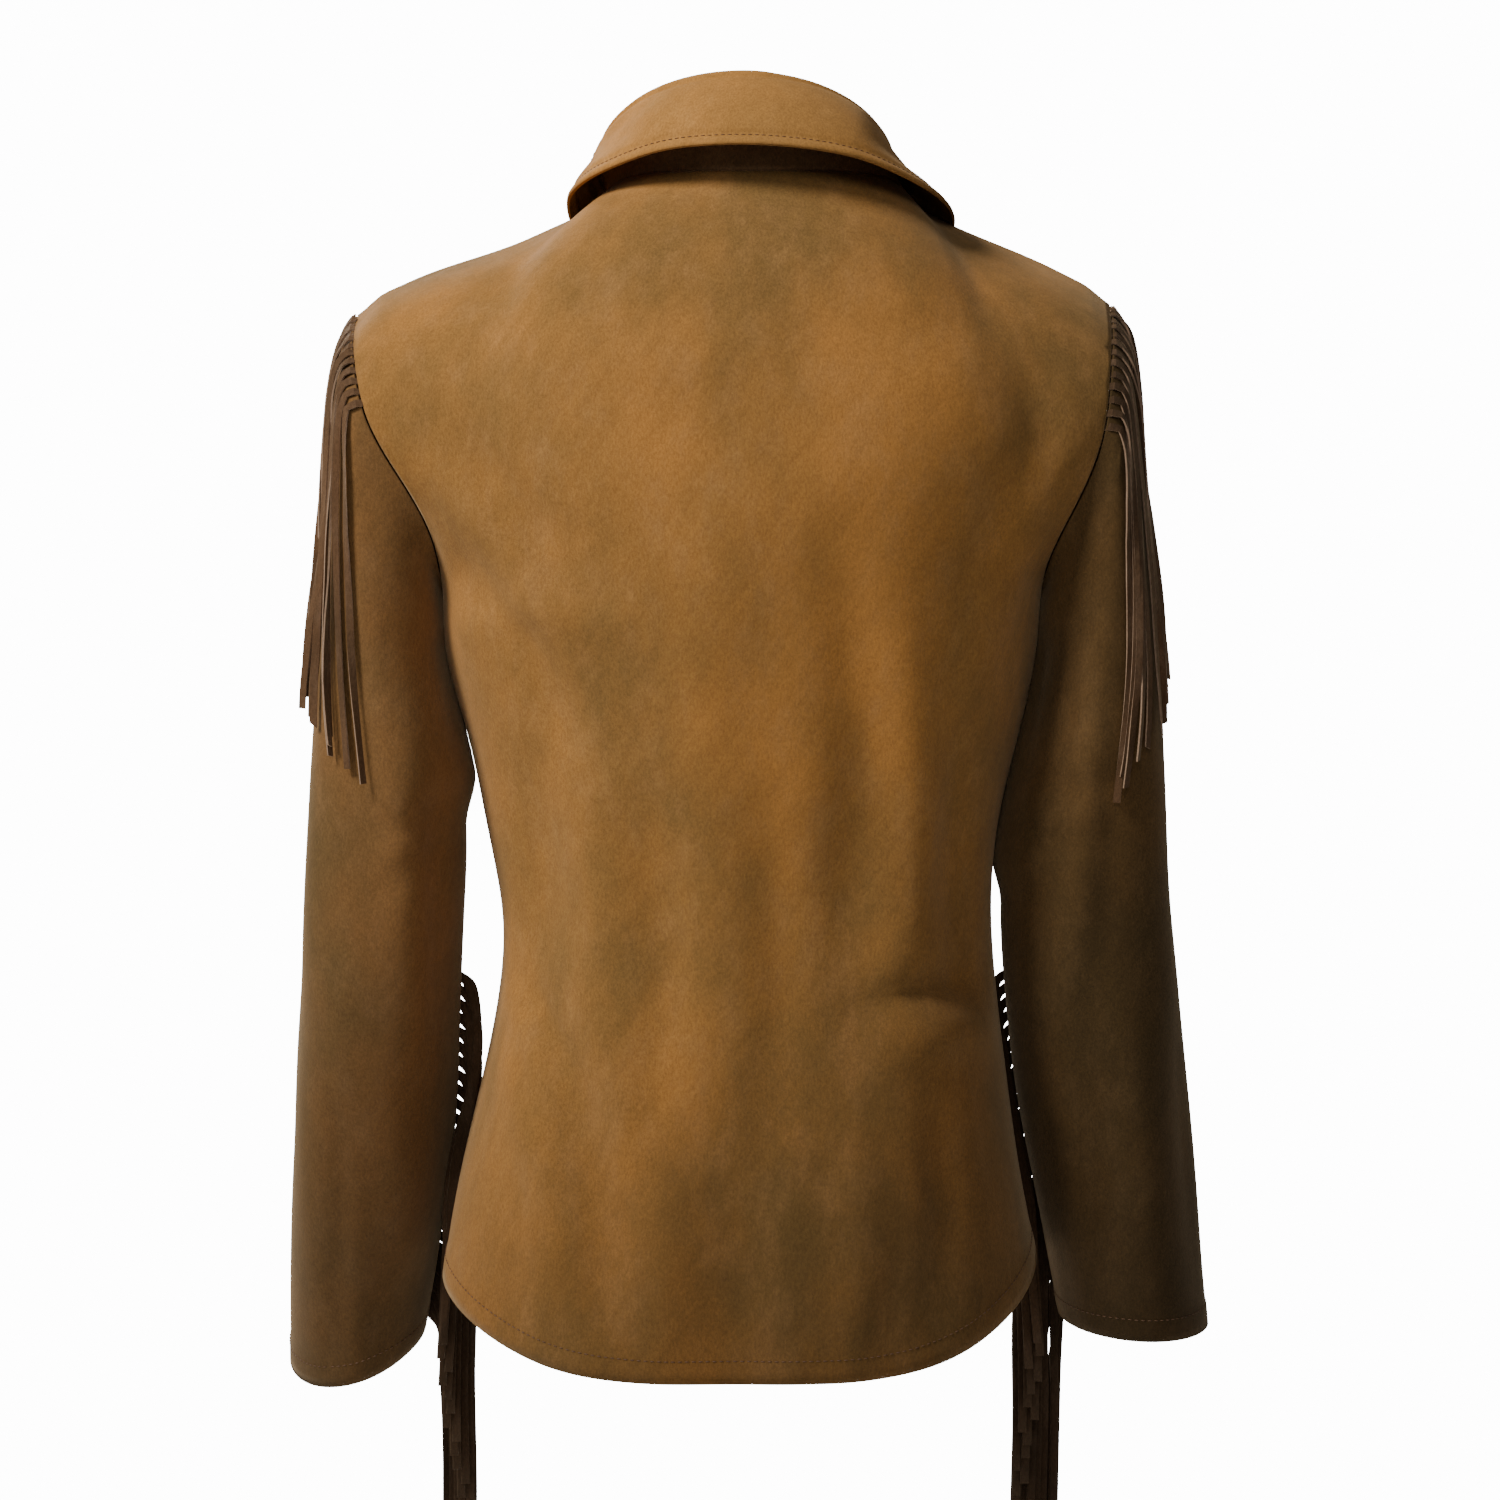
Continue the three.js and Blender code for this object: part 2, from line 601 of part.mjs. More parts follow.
const group = new THREE.Group();
const allColumns = Array.from({ length: PANEL_COLUMNS + 1 }, (_, k) => k / PANEL_COLUMNS);
const leftColumns = [...allColumns.slice(0, PANEL_COLUMNS / 2 + 1), 0.5 + OVERLAP];
const rightColumns = leftColumns.map((across) => 1 - across).reverse();
group.add(part('back', panel('back', allColumns), SUEDE));
group.add(part('front_left', panel('front', leftColumns, 0.44), SUEDE));
group.add(part('front_right', panel('front', rightColumns), SUEDE));
for (const [name, side] of Object.entries(SIDES)) {
  group.add(part(`sleeve_${name}`, sleeve(side), SUEDE));
  group.add(part(`fringe_armhole_${name}`, armholeFringe(side), FRINGE));
  group.add(part(`fringe_sleeve_${name}`, sleeveFringe(side), FRINGE));
}
group.add(part('collar_stand', collarStand(), SUEDE));
group.add(part('collar_leaf', collarLeaf(), SUEDE));

// Below the armpit a button lies on the flat face between two of the front's rows, and above it
// on a row itself.
BUTTON_ROWS.forEach((place, k) => {
  const low = place < ARMPIT ? Math.floor(place) : place - 0.5;
  const lower = panelPoint('front', 0.5, low);
  const upper = panelPoint('front', 0.5, low + 1);
  const middle = place < ARMPIT ? lower.clone().lerp(upper, place - low) : panelPoint('front', 0.5, place);
  const out = upper.sub(lower).cross(at(1, 0, 0)).normalize();
  const mesh = part(`button_${k + 1}`, button(), HORN);
  mesh.position.copy(middle.addScaledVector(out, BUTTON_SEAT));
  mesh.quaternion.setFromUnitVectors(at(0, 1, 0), out);
  group.add(mesh);
});

export default group;
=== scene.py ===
# A fringed suede shirt-jacket, filled out as it is worn, with no wearer. Metres, +Z up, the back
# of the jacket towards -Y. The origin is between the shoulders, where the body carries it.
import math

import bmesh
import bpy
import numpy as np
from mathutils import Matrix, Vector, kdtree, noise
from mathutils.bvhtree import BVHTree


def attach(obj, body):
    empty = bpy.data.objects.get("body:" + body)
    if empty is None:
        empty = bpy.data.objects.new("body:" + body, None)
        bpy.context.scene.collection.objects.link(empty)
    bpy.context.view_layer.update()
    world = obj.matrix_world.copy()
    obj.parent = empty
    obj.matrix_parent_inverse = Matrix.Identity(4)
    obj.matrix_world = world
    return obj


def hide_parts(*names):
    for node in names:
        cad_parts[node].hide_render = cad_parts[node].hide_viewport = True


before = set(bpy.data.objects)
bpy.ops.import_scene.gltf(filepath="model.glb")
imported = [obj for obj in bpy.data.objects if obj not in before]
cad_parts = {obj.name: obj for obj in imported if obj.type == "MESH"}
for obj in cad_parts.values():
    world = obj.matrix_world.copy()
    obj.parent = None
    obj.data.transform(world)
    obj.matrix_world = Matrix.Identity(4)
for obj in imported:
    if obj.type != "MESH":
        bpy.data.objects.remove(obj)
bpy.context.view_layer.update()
scene = bpy.context.scene
MM = 0.001

# ---------------------------------------------------------------------------------------------
# Camera, studio and light. A level camera behind the jacket, a pale floor below the fringe and
# one broad soft light from the upper left, so the right side falls into shade.
lens = bpy.data.cameras.new("behind")
lens.sensor_width = 36
lens.lens = 96
lens.clip_end = 60
camera = bpy.data.objects.new("behind", lens)
camera.location = (0, -2.2, -0.296)
camera.rotation_euler = (math.radians(90), 0, 0)
scene.collection.objects.link(camera)
scene.camera = camera


def softbox(name, place, aim, size, watts, tint):
    light = bpy.data.lights.new(name, "AREA")
    light.shape = "DISK"
    light.size = size
    light.energy = watts
    light.color = tint
    lamp = bpy.data.objects.new(name, light)
    lamp.location = place
    lamp.rotation_euler = (Vector(aim) - Vector(place)).to_track_quat("-Z", "Y").to_euler()
    scene.collection.objects.link(lamp)


softbox("key", (-1.75, -1.25, 1.6), (0, 0, -0.2), 0.8, 92, (1, 0.96, 0.89))
softbox("fill", (-0.1, -2.6, 1.3), (0, 0, -0.1), 1.2, 18, (1, 0.98, 0.95))
softbox("front key", (-1.3, 2.4, 1.2), (0, 0, -0.3), 1.4, 64, (1, 0.98, 0.95))

FLOOR_Z = -0.9
floor_mesh = bpy.data.meshes.new("floor")
bm = bmesh.new()
bmesh.ops.create_circle(bm, cap_ends=True, segments=128, radius=1.0)
bmesh.ops.translate(bm, verts=bm.verts, vec=(0, 0, FLOOR_Z))
bm.to_mesh(floor_mesh)
bm.free()
floor = bpy.data.objects.new("floor", floor_mesh)
scene.collection.objects.link(floor)
paper = bpy.data.materials.new("studio paper")
paper.use_nodes = True
shader = paper.node_tree.nodes["Principled BSDF"]
shader.inputs["Base Color"].default_value = (0.9, 0.9, 0.89, 1)
shader.inputs["Roughness"].default_value = 0.95
floor_mesh.materials.append(paper)

world = bpy.data.worlds.new("studio")
world.use_nodes = True
scene.world = world
sky = world.node_tree
backdrop = sky.nodes["Background"]
backdrop.inputs["Color"].default_value = (1, 1, 1, 1)
backdrop.inputs["Strength"].default_value = 14.0
glow = sky.nodes.new("ShaderNodeBackground")
glow.inputs["Color"].default_value = (0.9, 0.93, 1, 1)
glow.inputs["Strength"].default_value = 0.1
seen = sky.nodes.new("ShaderNodeLightPath")
either = sky.nodes.new("ShaderNodeMixShader")
sky.links.new(seen.outputs["Is Camera Ray"], either.inputs[0])
sky.links.new(glow.outputs[0], either.inputs[1])
sky.links.new(backdrop.outputs[0], either.inputs[2])
sky.links.new(either.outputs[0], sky.nodes["World Output"].inputs["Surface"])

# ---------------------------------------------------------------------------------------------
# Back. One panel of soft suede from side seam to side seam, with a dropped shirt tail. The nap
# is brushed in patches, some orange-brown and some olive, and is sewn in at every edge but the
# hem, which is turned up and stitched.


def node_group(name, inputs, outputs):
    """An empty shader group with its sockets, its entry and its exit."""
    group = bpy.data.node_groups.new(name, "ShaderNodeTree")
    for label, kind, value in inputs:
        socket = group.interface.new_socket(label, in_out="INPUT", socket_type=kind)
        if value is not None:
            socket.default_value = value
    for label, kind in outputs:
        group.interface.new_socket(label, in_out="OUTPUT", socket_type=kind)
    return group, group.nodes.new("NodeGroupInput"), group.nodes.new("NodeGroupOutput")


def cloud(tree, vector, scale, detail, roughness, stretch=(1, 1, 1), shift=(0, 0, 0), turn=0.0):
    """A noise texture over stretched coordinates; scale is in clouds a metre."""
    place = tree.nodes.new("ShaderNodeMapping")
    place.vector_type = "TEXTURE"
    place.inputs["Scale"].default_value = tuple(1 / n for n in stretch)
    place.inputs["Location"].default_value = shift
    place.inputs["Rotation"].default_value = (0, turn, 0)
    tree.links.new(vector, place.inputs["Vector"])
    texture = tree.nodes.new("ShaderNodeTexNoise")
    texture.inputs["Scale"].default_value = scale
    texture.inputs["Detail"].default_value = detail
    texture.inputs["Roughness"].default_value = roughness
    tree.links.new(place.outputs[0], texture.inputs["Vector"])
    return texture.outputs["Fac"]


def spread(tree, value, low, high, to_low=0.0, to_high=1.0):
    """Value from low..high to to_low..to_high, with soft ends."""
    node = tree.nodes.new("ShaderNodeMapRange")
    node.interpolation_type = "SMOOTHSTEP"
    limits = {"From Min": low, "From Max": high, "To Min": to_low, "To Max": to_high}
    for label, number in limits.items():
        node.inputs[label].default_value = number
    tree.links.new(value, node.inputs["Value"])
    return node.outputs["Result"]


def sums(tree, operation, first, second):
    """Two values, either of them a plain number, through one Math node."""
    node = tree.nodes.new("ShaderNodeMath")
    node.operation = operation
    for socket, value in zip(node.inputs, (first, second)):
        if isinstance(value, (int, float)):
            socket.default_value = value
        else:
            tree.links.new(value, socket)
    return node.outputs[0]


def blend_colours(tree, share, first, second, mode="MIX"):
    """Two colours, each a socket or four numbers, mixed by a socket or a number."""
    node = tree.nodes.new("ShaderNodeMix")
    node.data_type = "RGBA"
    node.blend_type = mode
    sockets = (node.inputs["Factor"], node.inputs[6], node.inputs[7])
    for socket, value in zip(sockets, (share, first, second)):
        if isinstance(value, (int, float, tuple)):
            socket.default_value = value
        else:
            tree.links.new(value, socket)
    return node.outputs[2]


nap, entry, leave = node_group(
    "suede nap",
    [
        ("Place", "NodeSocketVector", None),
        ("Brushed", "NodeSocketColor", (0.36, 0.17, 0.055, 1)),
        ("Shaded", "NodeSocketColor", (0.15, 0.085, 0.03, 1)),
        ("Lifted", "NodeSocketColor", (0.33, 0.18, 0.075, 1)),
        ("Patchiness", "NodeSocketFloat", 1.0),
        # the last two inputs set painted shade: darker low down, and darker towards +X
        ("Painted low shade", "NodeSocketFloat", 0.6),
        ("Painted shade lean", "NodeSocketFloat", 0.0),
    ],
    [("Color", "NodeSocketColor"), ("Height", "NodeSocketFloat"), ("Roughness", "NodeSocketFloat")],
)
where = entry.outputs["Place"]
patches = cloud(nap, where, 6.5, 3, 0.55, (1, 1, 0.62))
drifts = cloud(nap, where, 17, 5, 0.62, (1, 1, 0.55), (0.3, 0.1, 0.7))
strokes_of_hand = cloud(nap, where, 48, 6, 0.7, (1, 1, 0.5), (0.9, 0.4, 0.2))
fibres = cloud(nap, where, 900, 3, 0.7, (1, 1, 0.55))
grain = cloud(nap, where, 2600, 2, 0.6)
brushing = cloud(nap, where, 150, 3, 0.6, (1, 1, 0.09), (0.2, 0.5, 0.1), 0.62)
mottle = sums(nap, "ADD", sums(nap, "MULTIPLY", patches, 0.62), sums(nap, "MULTIPLY", drifts, 0.38))
olive = spread(nap, mottle, 0.34, 0.64)
olive = sums(nap, "MULTIPLY", olive, entry.outputs["Patchiness"])
colour = blend_colours(nap, olive, entry.outputs["Brushed"], entry.outputs["Shaded"])
lift = sums(nap, "MULTIPLY", spread(nap, strokes_of_hand, 0.45, 0.75), 0.4)
colour = blend_colours(nap, lift, colour, entry.outputs["Lifted"])
fuzz = sums(nap, "ADD", sums(nap, "MULTIPLY", fibres, 0.6), sums(nap, "MULTIPLY", grain, 0.4))
fuzz = spread(nap, fuzz, 0.3, 0.7, 0.74, 1.24)
speckle = sums(nap, "MULTIPLY", fuzz, spread(nap, brushing, 0.35, 0.7, 0.97, 1.07))
darker = nap.nodes.new("ShaderNodeVectorMath")
darker.operation = "SCALE"
nap.links.new(colour, darker.inputs[0])
parts = nap.nodes.new("ShaderNodeSeparateXYZ")
nap.links.new(where, parts.inputs[0])
# Painted shade: lower down, and further towards +X by the lean, the colour is darker.
low = sums(nap, "ADD", parts.outputs["Z"], sums(nap, "MULTIPLY", patches, 0.16))
low = sums(nap, "SUBTRACT", low, sums(nap, "MULTIPLY", parts.outputs["X"], entry.outputs["Painted shade lean"]))
low_shade = nap.nodes.new("ShaderNodeMapRange")  # painted shade: the colour darkens low down and towards +X, where less light falls
low_shade.interpolation_type = "SMOOTHSTEP"
low_shade.inputs["From Min"].default_value = -0.58
low_shade.inputs["From Max"].default_value = -0.22
low_shade.inputs["To Max"].default_value = 1.0
nap.links.new(entry.outputs["Painted low shade"], low_shade.inputs["To Min"])
nap.links.new(low, low_shade.inputs["Value"])
nap.links.new(sums(nap, "MULTIPLY", speckle, low_shade.outputs["Result"]), darker.inputs["Scale"])
nap.links.new(darker.outputs[0], leave.inputs["Color"])
height = sums(nap, "ADD", sums(nap, "MULTIPLY", fibres, 0.55), sums(nap, "MULTIPLY", grain, 0.25))
height = sums(nap, "ADD", height, sums(nap, "MULTIPLY", strokes_of_hand, 0.6))
nap.links.new(height, leave.inputs["Height"])
nap.links.new(spread(nap, strokes_of_hand, 0.3, 0.7, 0.98, 0.86), leave.inputs["Roughness"])


def suede(name, brushed, shaded, lifted, patchiness=1.0, sheen=0.35, bump=0.5, low_shade=0.45, shade_lean=0.0):
    """Suede with its nap in this piece's own colours, and with painted shade that darkens it low down and
    towards +X.
    """
    material = bpy.data.materials.new(name)
    material.use_nodes = True
    tree = material.node_tree
    shader = tree.nodes["Principled BSDF"]
    place = tree.nodes.new("ShaderNodeTexCoord")
    skin = tree.nodes.new("ShaderNodeGroup")
    skin.node_tree = nap
    skin.inputs["Brushed"].default_value = (*brushed, 1)
    skin.inputs["Shaded"].default_value = (*shaded, 1)
    skin.inputs["Lifted"].default_value = (*lifted, 1)
    skin.inputs["Patchiness"].default_value = patchiness
    skin.inputs["Painted low shade"].default_value = low_shade
    skin.inputs["Painted shade lean"].default_value = shade_lean
    tree.links.new(place.outputs["Object"], skin.inputs["Place"])
    tree.links.new(skin.outputs["Color"], shader.inputs["Base Color"])
    tree.links.new(skin.outputs["Roughness"], shader.inputs["Roughness"])
    relief = tree.nodes.new("ShaderNodeBump")
    relief.inputs["Strength"].default_value = bump
    relief.inputs["Distance"].default_value = 0.0006
    tree.links.new(skin.outputs["Height"], relief.inputs["Height"])
    tree.links.new(relief.outputs["Normal"], shader.inputs["Normal"])
    shader.inputs["Specular IOR Level"].default_value = 0.15
    shader.inputs["Sheen Weight"].default_value = sheen
    shader.inputs["Sheen Roughness"].default_value = 0.45
    shader.inputs["Sheen Tint"].default_value = (0.95, 0.72, 0.45, 1)
    return material


# Its lean paints extra shade towards +X, the side the key light leaves darker.
body_suede = suede(
    "body suede", (0.385, 0.172, 0.042), (0.185, 0.103, 0.031), (0.39, 0.2, 0.07),
    sheen=0.28, shade_lean=0.6)


def smooth_copy(node, name, levels, sharp=50):
    """A fine copy of a node's mesh, rounded between its cut edges, which stay crisp."""
    bm = bmesh.new()
    bm.from_mesh(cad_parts[node].data)
    bmesh.ops.remove_doubles(bm, verts=bm.verts, dist=1e-6)
    bmesh.ops.join_triangles(bm, faces=bm.faces, angle_face_threshold=0.7, angle_shape_threshold=3.1)
    crease = bm.edges.layers.float.new("crease_edge")
    for edge in bm.edges:
        if edge.calc_face_angle(0) > math.radians(sharp):
            edge[crease] = 1
    mesh = bpy.data.meshes.new(name)
    bm.to_mesh(mesh)
    bm.free()
    piece = bpy.data.objects.new(name, mesh)
    scene.collection.objects.link(piece)
    rounding = piece.modifiers.new("rounding", "SUBSURF")
    rounding.levels = rounding.render_levels = levels
    made = piece.evaluated_get(bpy.context.evaluated_depsgraph_get())
    fine = bpy.data.meshes.new_from_object(made)
    piece.modifiers.clear()
    piece.data = fine
    fine.name = name
    fine.shade_smooth()
    fine.set_sharp_from_angle(angle=math.radians(sharp))
    return piece


def points_of(piece):
    flat = np.empty(len(piece.data.vertices) * 3, dtype=np.float32)
    piece.data.vertices.foreach_get("co", flat)
    return flat.reshape(-1, 3).astype(float)


def put_points(piece, points):
    piece.data.vertices.foreach_set("co", points.astype(np.float32).ravel())
    piece.data.update()


def soft_step(value, low, high):
    share = np.clip((value - low) / (high - low), 0, 1)
    return share * share * (3 - 2 * share)


def fold(points, path, width, depth):
    """How far a soft fold along path lifts each (x, z): it runs out at both ends."""
    path = np.array(path, float) * MM
    legs = np.linalg.norm(np.diff(path, axis=0), axis=1)
    start = np.concatenate([[0], np.cumsum(legs)])
    nearest = np.full(len(points), 1e9)
    along = np.zeros(len(points))
    for k, leg in enumerate(legs):
        step = (path[k + 1] - path[k]) / leg
        reach = np.clip((points - path[k]) @ step, 0, leg)
        gap = np.linalg.norm(points - path[k] - reach[:, None] * step, axis=1)
        closer = gap < nearest
        nearest[closer] = gap[closer]
        along[closer] = (start[k] + reach[closer]) / start[-1]
    taper = np.sin(np.pi * np.clip(0.08 + 0.84 * along, 0, 1)) ** 0.8
    return depth * MM * taper * np.exp(-((nearest / (width * MM)) ** 2) / 1.2)


def waver(points, size, seed):
    """A slow uneven swell between -1 and 1, size metres across."""
    shift = Vector((seed * 3.7, seed * 1.9, seed * 5.3))
    return np.array([noise.noise(Vector(p) / size + shift) for p in points])


def cut_edges(piece, wanted, sharp=45):
    """The numbers of the points on the piece's cut edges where wanted(edge) holds."""
    bm = bmesh.new()
    bm.from_mesh(piece.data)
    found = set()
    for edge in bm.edges:
        if edge.calc_face_angle(0) > math.radians(sharp) and wanted(edge):
            found.update(v.index for v in edge.verts)
    bm.free()
    return found


def hanging(edge):
    """A hem or cuff edge: low down, with its cut face downwards."""
    return edge.verts[0].co.z < -0.5 and min(f.normal.z for f in edge.link_faces) < -0.6


def gap_to(points, edge):
    """How far each point is from the nearest of the edge's points."""
    tree = kdtree.KDTree(len(edge))
    for index in edge:
        tree.insert(points[index], index)
    tree.balance()
    return np.array([tree.find(p)[2] for p in points])


# Each fold: its path over the cloth in mm as (x, z), half width, and depth, minus for a trough.
BEHIND = [
    ([(-176, -112), (-140, -150), (-84, -214)], 13, -4.8),
    ([(-168, -150), (-128, -196), (-96, -250)], 11, 3.9),
    ([(-158, -196), (-120, -236), (-88, -300)], 12, -4.8),
    ([(-150, -232), (-118, -222), (-70, -232)], 9, 2.5),
    ([(-118, -286), (-112, -360), (-118, -440)], 15, -5.9),
    ([(-88, -300), (-78, -380), (-86, -470)], 16, 4.8),
    ([(-50, -330), (-44, -400), (-52, -500)], 13, -4.2),
    ([(-18, -180), (-26, -290), (-14, -400)], 22, 3.6),
    ([(10, -330), (16, -420), (8, -520)], 14, -3.9),
    ([(48, -190), (60, -300), (50, -430)], 17, -6.2),
    ([(82, -250), (90, -340), (80, -440)], 14, 4.5),
    ([(112, -290), (108, -360), (116, -430)], 12, -4.8),
    ([(58, -434), (96, -420), (140, -420)], 7, -6.4),
    ([(76, -456), (110, -444), (142, -450)], 10, 5.2),
    ([(-140, -404), (-118, -428), (-96, -470)], 6, -4.2),
    ([(-146, -432), (-124, -458), (-108, -500)], 6, -3.4),
    ([(-130, -418), (-119, -470), (-108, -530), (-106, -590)], 12, 5.4),
    ([(-100, -440), (-90, -490), (-79, -540), (-78, -590)], 12, -6.2),
    ([(-50, -520), (-44, -570), (-48, -626)], 14, 4.2),
    ([(-10, -520), (-4, -575), (-8, -632)], 16, -3.9),
    ([(52, -500), (58, -560), (52, -625)], 14, 4.5),
    ([(98, -480), (104, -540), (98, -600)], 11, -5.0),
    ([(150, -90), (156, -130), (132, -190)], 12, -4.2),
    ([(162, -150), (140, -196), (118, -262)], 12, 3.4),
    ([(-120, -70), (-60, -92), (0, -84)], 16, 2.2),
    ([(20, -60), (80, -78), (140, -66)], 17, -2.2),
]
BODY_MIDDLE = (-6, -1)  # mm, where the body's axis stands in plan
BODY_WIDE = 1.9  # times its depth
HEM_FOLD = {"deep": 13, "proud": 0.6}  # mm, the turned-up edge is two layers thick
SHOULDER_TIPS = ((-1, 0.216, 0.0058), (1, 0.198, 0.0042))  # side, tip's x and the rise before it
SHOULDER_RISE = {"starts": 0.095, "full": 0.03, "falls": 0.016, "ends": -0.002}  # metres inward of a tip
SHOULDER_Z = (-0.125, -0.06)  # metres, the rise fades out downwards between these heights
SWELL = {"all over": (1.6, 0.085), "hem": (2.6, 0.06)}  # mm in and out, and metres across
FADE_IN = {  # metres: depth past the body's side, drops below the origin, and gap from a seam
    "fold": (0.012, 0.06), "all over": (0.02, 0.2), "hem": (0.46, 0.6), "seam": (0, 0.03),
}


def out_of_body(points):
    """Level directions straight out of the body's round form."""
    out = np.zeros_like(points)
    out[:, :2] = points[:, :2] - np.array(BODY_MIDDLE) * MM
    out[:, 0] /= BODY_WIDE
    return out / np.linalg.norm(out, axis=1)[:, None]


def turned_edge(gap):
    """The turned-up edge of a hem or cuff stands a little proud of the single cloth above it."""
    low, high = (HEM_FOLD["deep"] - 2) * MM, (HEM_FOLD["deep"] + 2) * MM
    return HEM_FOLD["proud"] * MM * (1 - soft_step(gap, low, high))


def round_shoulder(points):
    """The cloth stands up over the padded sleeve head, then rolls down to the shoulder tip."""
    for sign, tip, height in SHOULDER_TIPS:
        reach, z = sign * points[:, 0], points[:, 2]
        over = soft_step(reach, tip - SHOULDER_RISE["starts"], tip - SHOULDER_RISE["full"])
        over *= 1 - soft_step(reach, tip - SHOULDER_RISE["falls"], tip - SHOULDER_RISE["ends"])
        points[:, 2] = z + height * over * soft_step(z, *SHOULDER_Z)


def hang_body(piece, folds, facing):
    """Presses the folds and a slow swell into a panel; facing is -1 behind and 1 in front."""
    points = points_of(piece)
    round_shoulder(points)
    lift = np.zeros(len(points))
    for path, width, depth in folds:
        lift += fold(points[:, [0, 2]], path, width, depth)
    lift *= soft_step(facing * points[:, 1], *FADE_IN["fold"])
    for name, tall, seed in (("all over", 1, 1), ("hem", 0.5, 4)):
        rise, across = SWELL[name]
        uneven = waver(points * (1, 1, tall), across, seed)
        lift += rise * MM * uneven * soft_step(-points[:, 2], *FADE_IN[name])
    seams = cut_edges(piece, lambda e: e.verts[0].co.z > -0.2)
    lift *= soft_step(gap_to(points, seams), *FADE_IN["seam"])
    lift += turned_edge(gap_to(points, cut_edges(piece, hanging)))
    put_points(piece, points + out_of_body(points) * lift[:, None])


def two_sided(piece, out, face, reverse):
    """The nap is on the outer face; the plain back of the cloth is on the inner one."""
    piece.data.materials.clear()
    piece.data.materials.append(face)
    piece.data.materials.append(reverse)
    count = len(piece.data.polygons)
    normals = np.empty(count * 3)
    piece.data.polygons.foreach_get("normal", normals)
    middles = np.empty(count * 3)
    piece.data.polygons.foreach_get("center", middles)
    inward = (normals.reshape(-1, 3) * out(middles.reshape(-1, 3))).sum(axis=1) < -0.35
    piece.data.polygons.foreach_set("material_index", inward.astype(np.int32))


def wear(piece, node):
    """The finished piece stands for its node and moves with the jacket."""
    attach(piece, "root")
    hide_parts(node)


reverse_suede = suede(
    "cloth back", (0.16, 0.09, 0.04), (0.12, 0.07, 0.032), (0.18, 0.11, 0.05),
    patchiness=0.5, sheen=0.15, bump=0.3)

back = smooth_copy("back", "back_panel", 3)
hang_body(back, BEHIND, -1)
two_sided(back, out_of_body, body_suede, reverse_suede)
wear(back, "back")

# ---------------------------------------------------------------------------------------------
# Fronts. Two suede panels, the right one over the left, joined to the back at the side and
# shoulder seams. Their folds run from the armholes to the waist and out again over the hips.
IN_FRONT = [
    ([(-176, -96), (-140, -140), (-96, -196)], 13, -4.2),
    ([(-164, -140), (-126, -190), (-100, -256)], 12, 3.4),
    ([(-150, -206), (-122, -262), (-110, -330)], 12, -4.4),
    ([(-84, -210), (-74, -300), (-84, -400)], 17, 4.2),
    ([(-112, -330), (-108, -400), (-118, -470)], 12, -4.2),
    ([(-52, -300), (-46, -390), (-56, -480)], 13, -3.6),
    ([(-140, -410), (-112, -430), (-76, -440)], 6.5, -3.4),
    ([(-92, -480), (-86, -540), (-96, -600)], 12, 4.4),
    ([(-60, -500), (-52, -560), (-58, -618)], 11, -4.4),
    ([(-126, -500), (-124, -540), (-130, -590)], 10, -3.9),
    ([(36, -160), (44, -250), (38, -330)], 16, 3.1),
    ([(154, -96), (134, -150), (88, -204)], 13, -4.2),
    ([(148, -150), (118, -200), (88, -262)], 11, 3.4),
    ([(142, -208), (114, -262), (96, -336)], 12, -3.9),
    ([(72, -240), (66, -320), (74, -420)], 16, -4.7),
    ([(104, -320), (98, -390), (108, -460)], 14, 3.9),
    ([(44, -380), (40, -450), (48, -530)], 12, -3.4),
    ([(136, -420), (110, -436), (84, -430)], 6.5, -3.1),
    ([(78, -470), (86, -540), (78, -612)], 13, 4.4),
    ([(112, -490), (118, -545), (112, -596)], 11, -4.4),
    ([(40, -540), (44, -580), (40, -620)], 10, -3.1),
]
front_left = smooth_copy("front_left", "front_panel_left", 3)
front_right = smooth_copy("front_right", "front_panel_right", 3)
for panel, node in ((front_left, "front_left"), (front_right, "front_right")):
    hang_body(panel, IN_FRONT, 1)
    two_sided(panel, out_of_body, body_suede, reverse_suede)
    wear(panel, node)

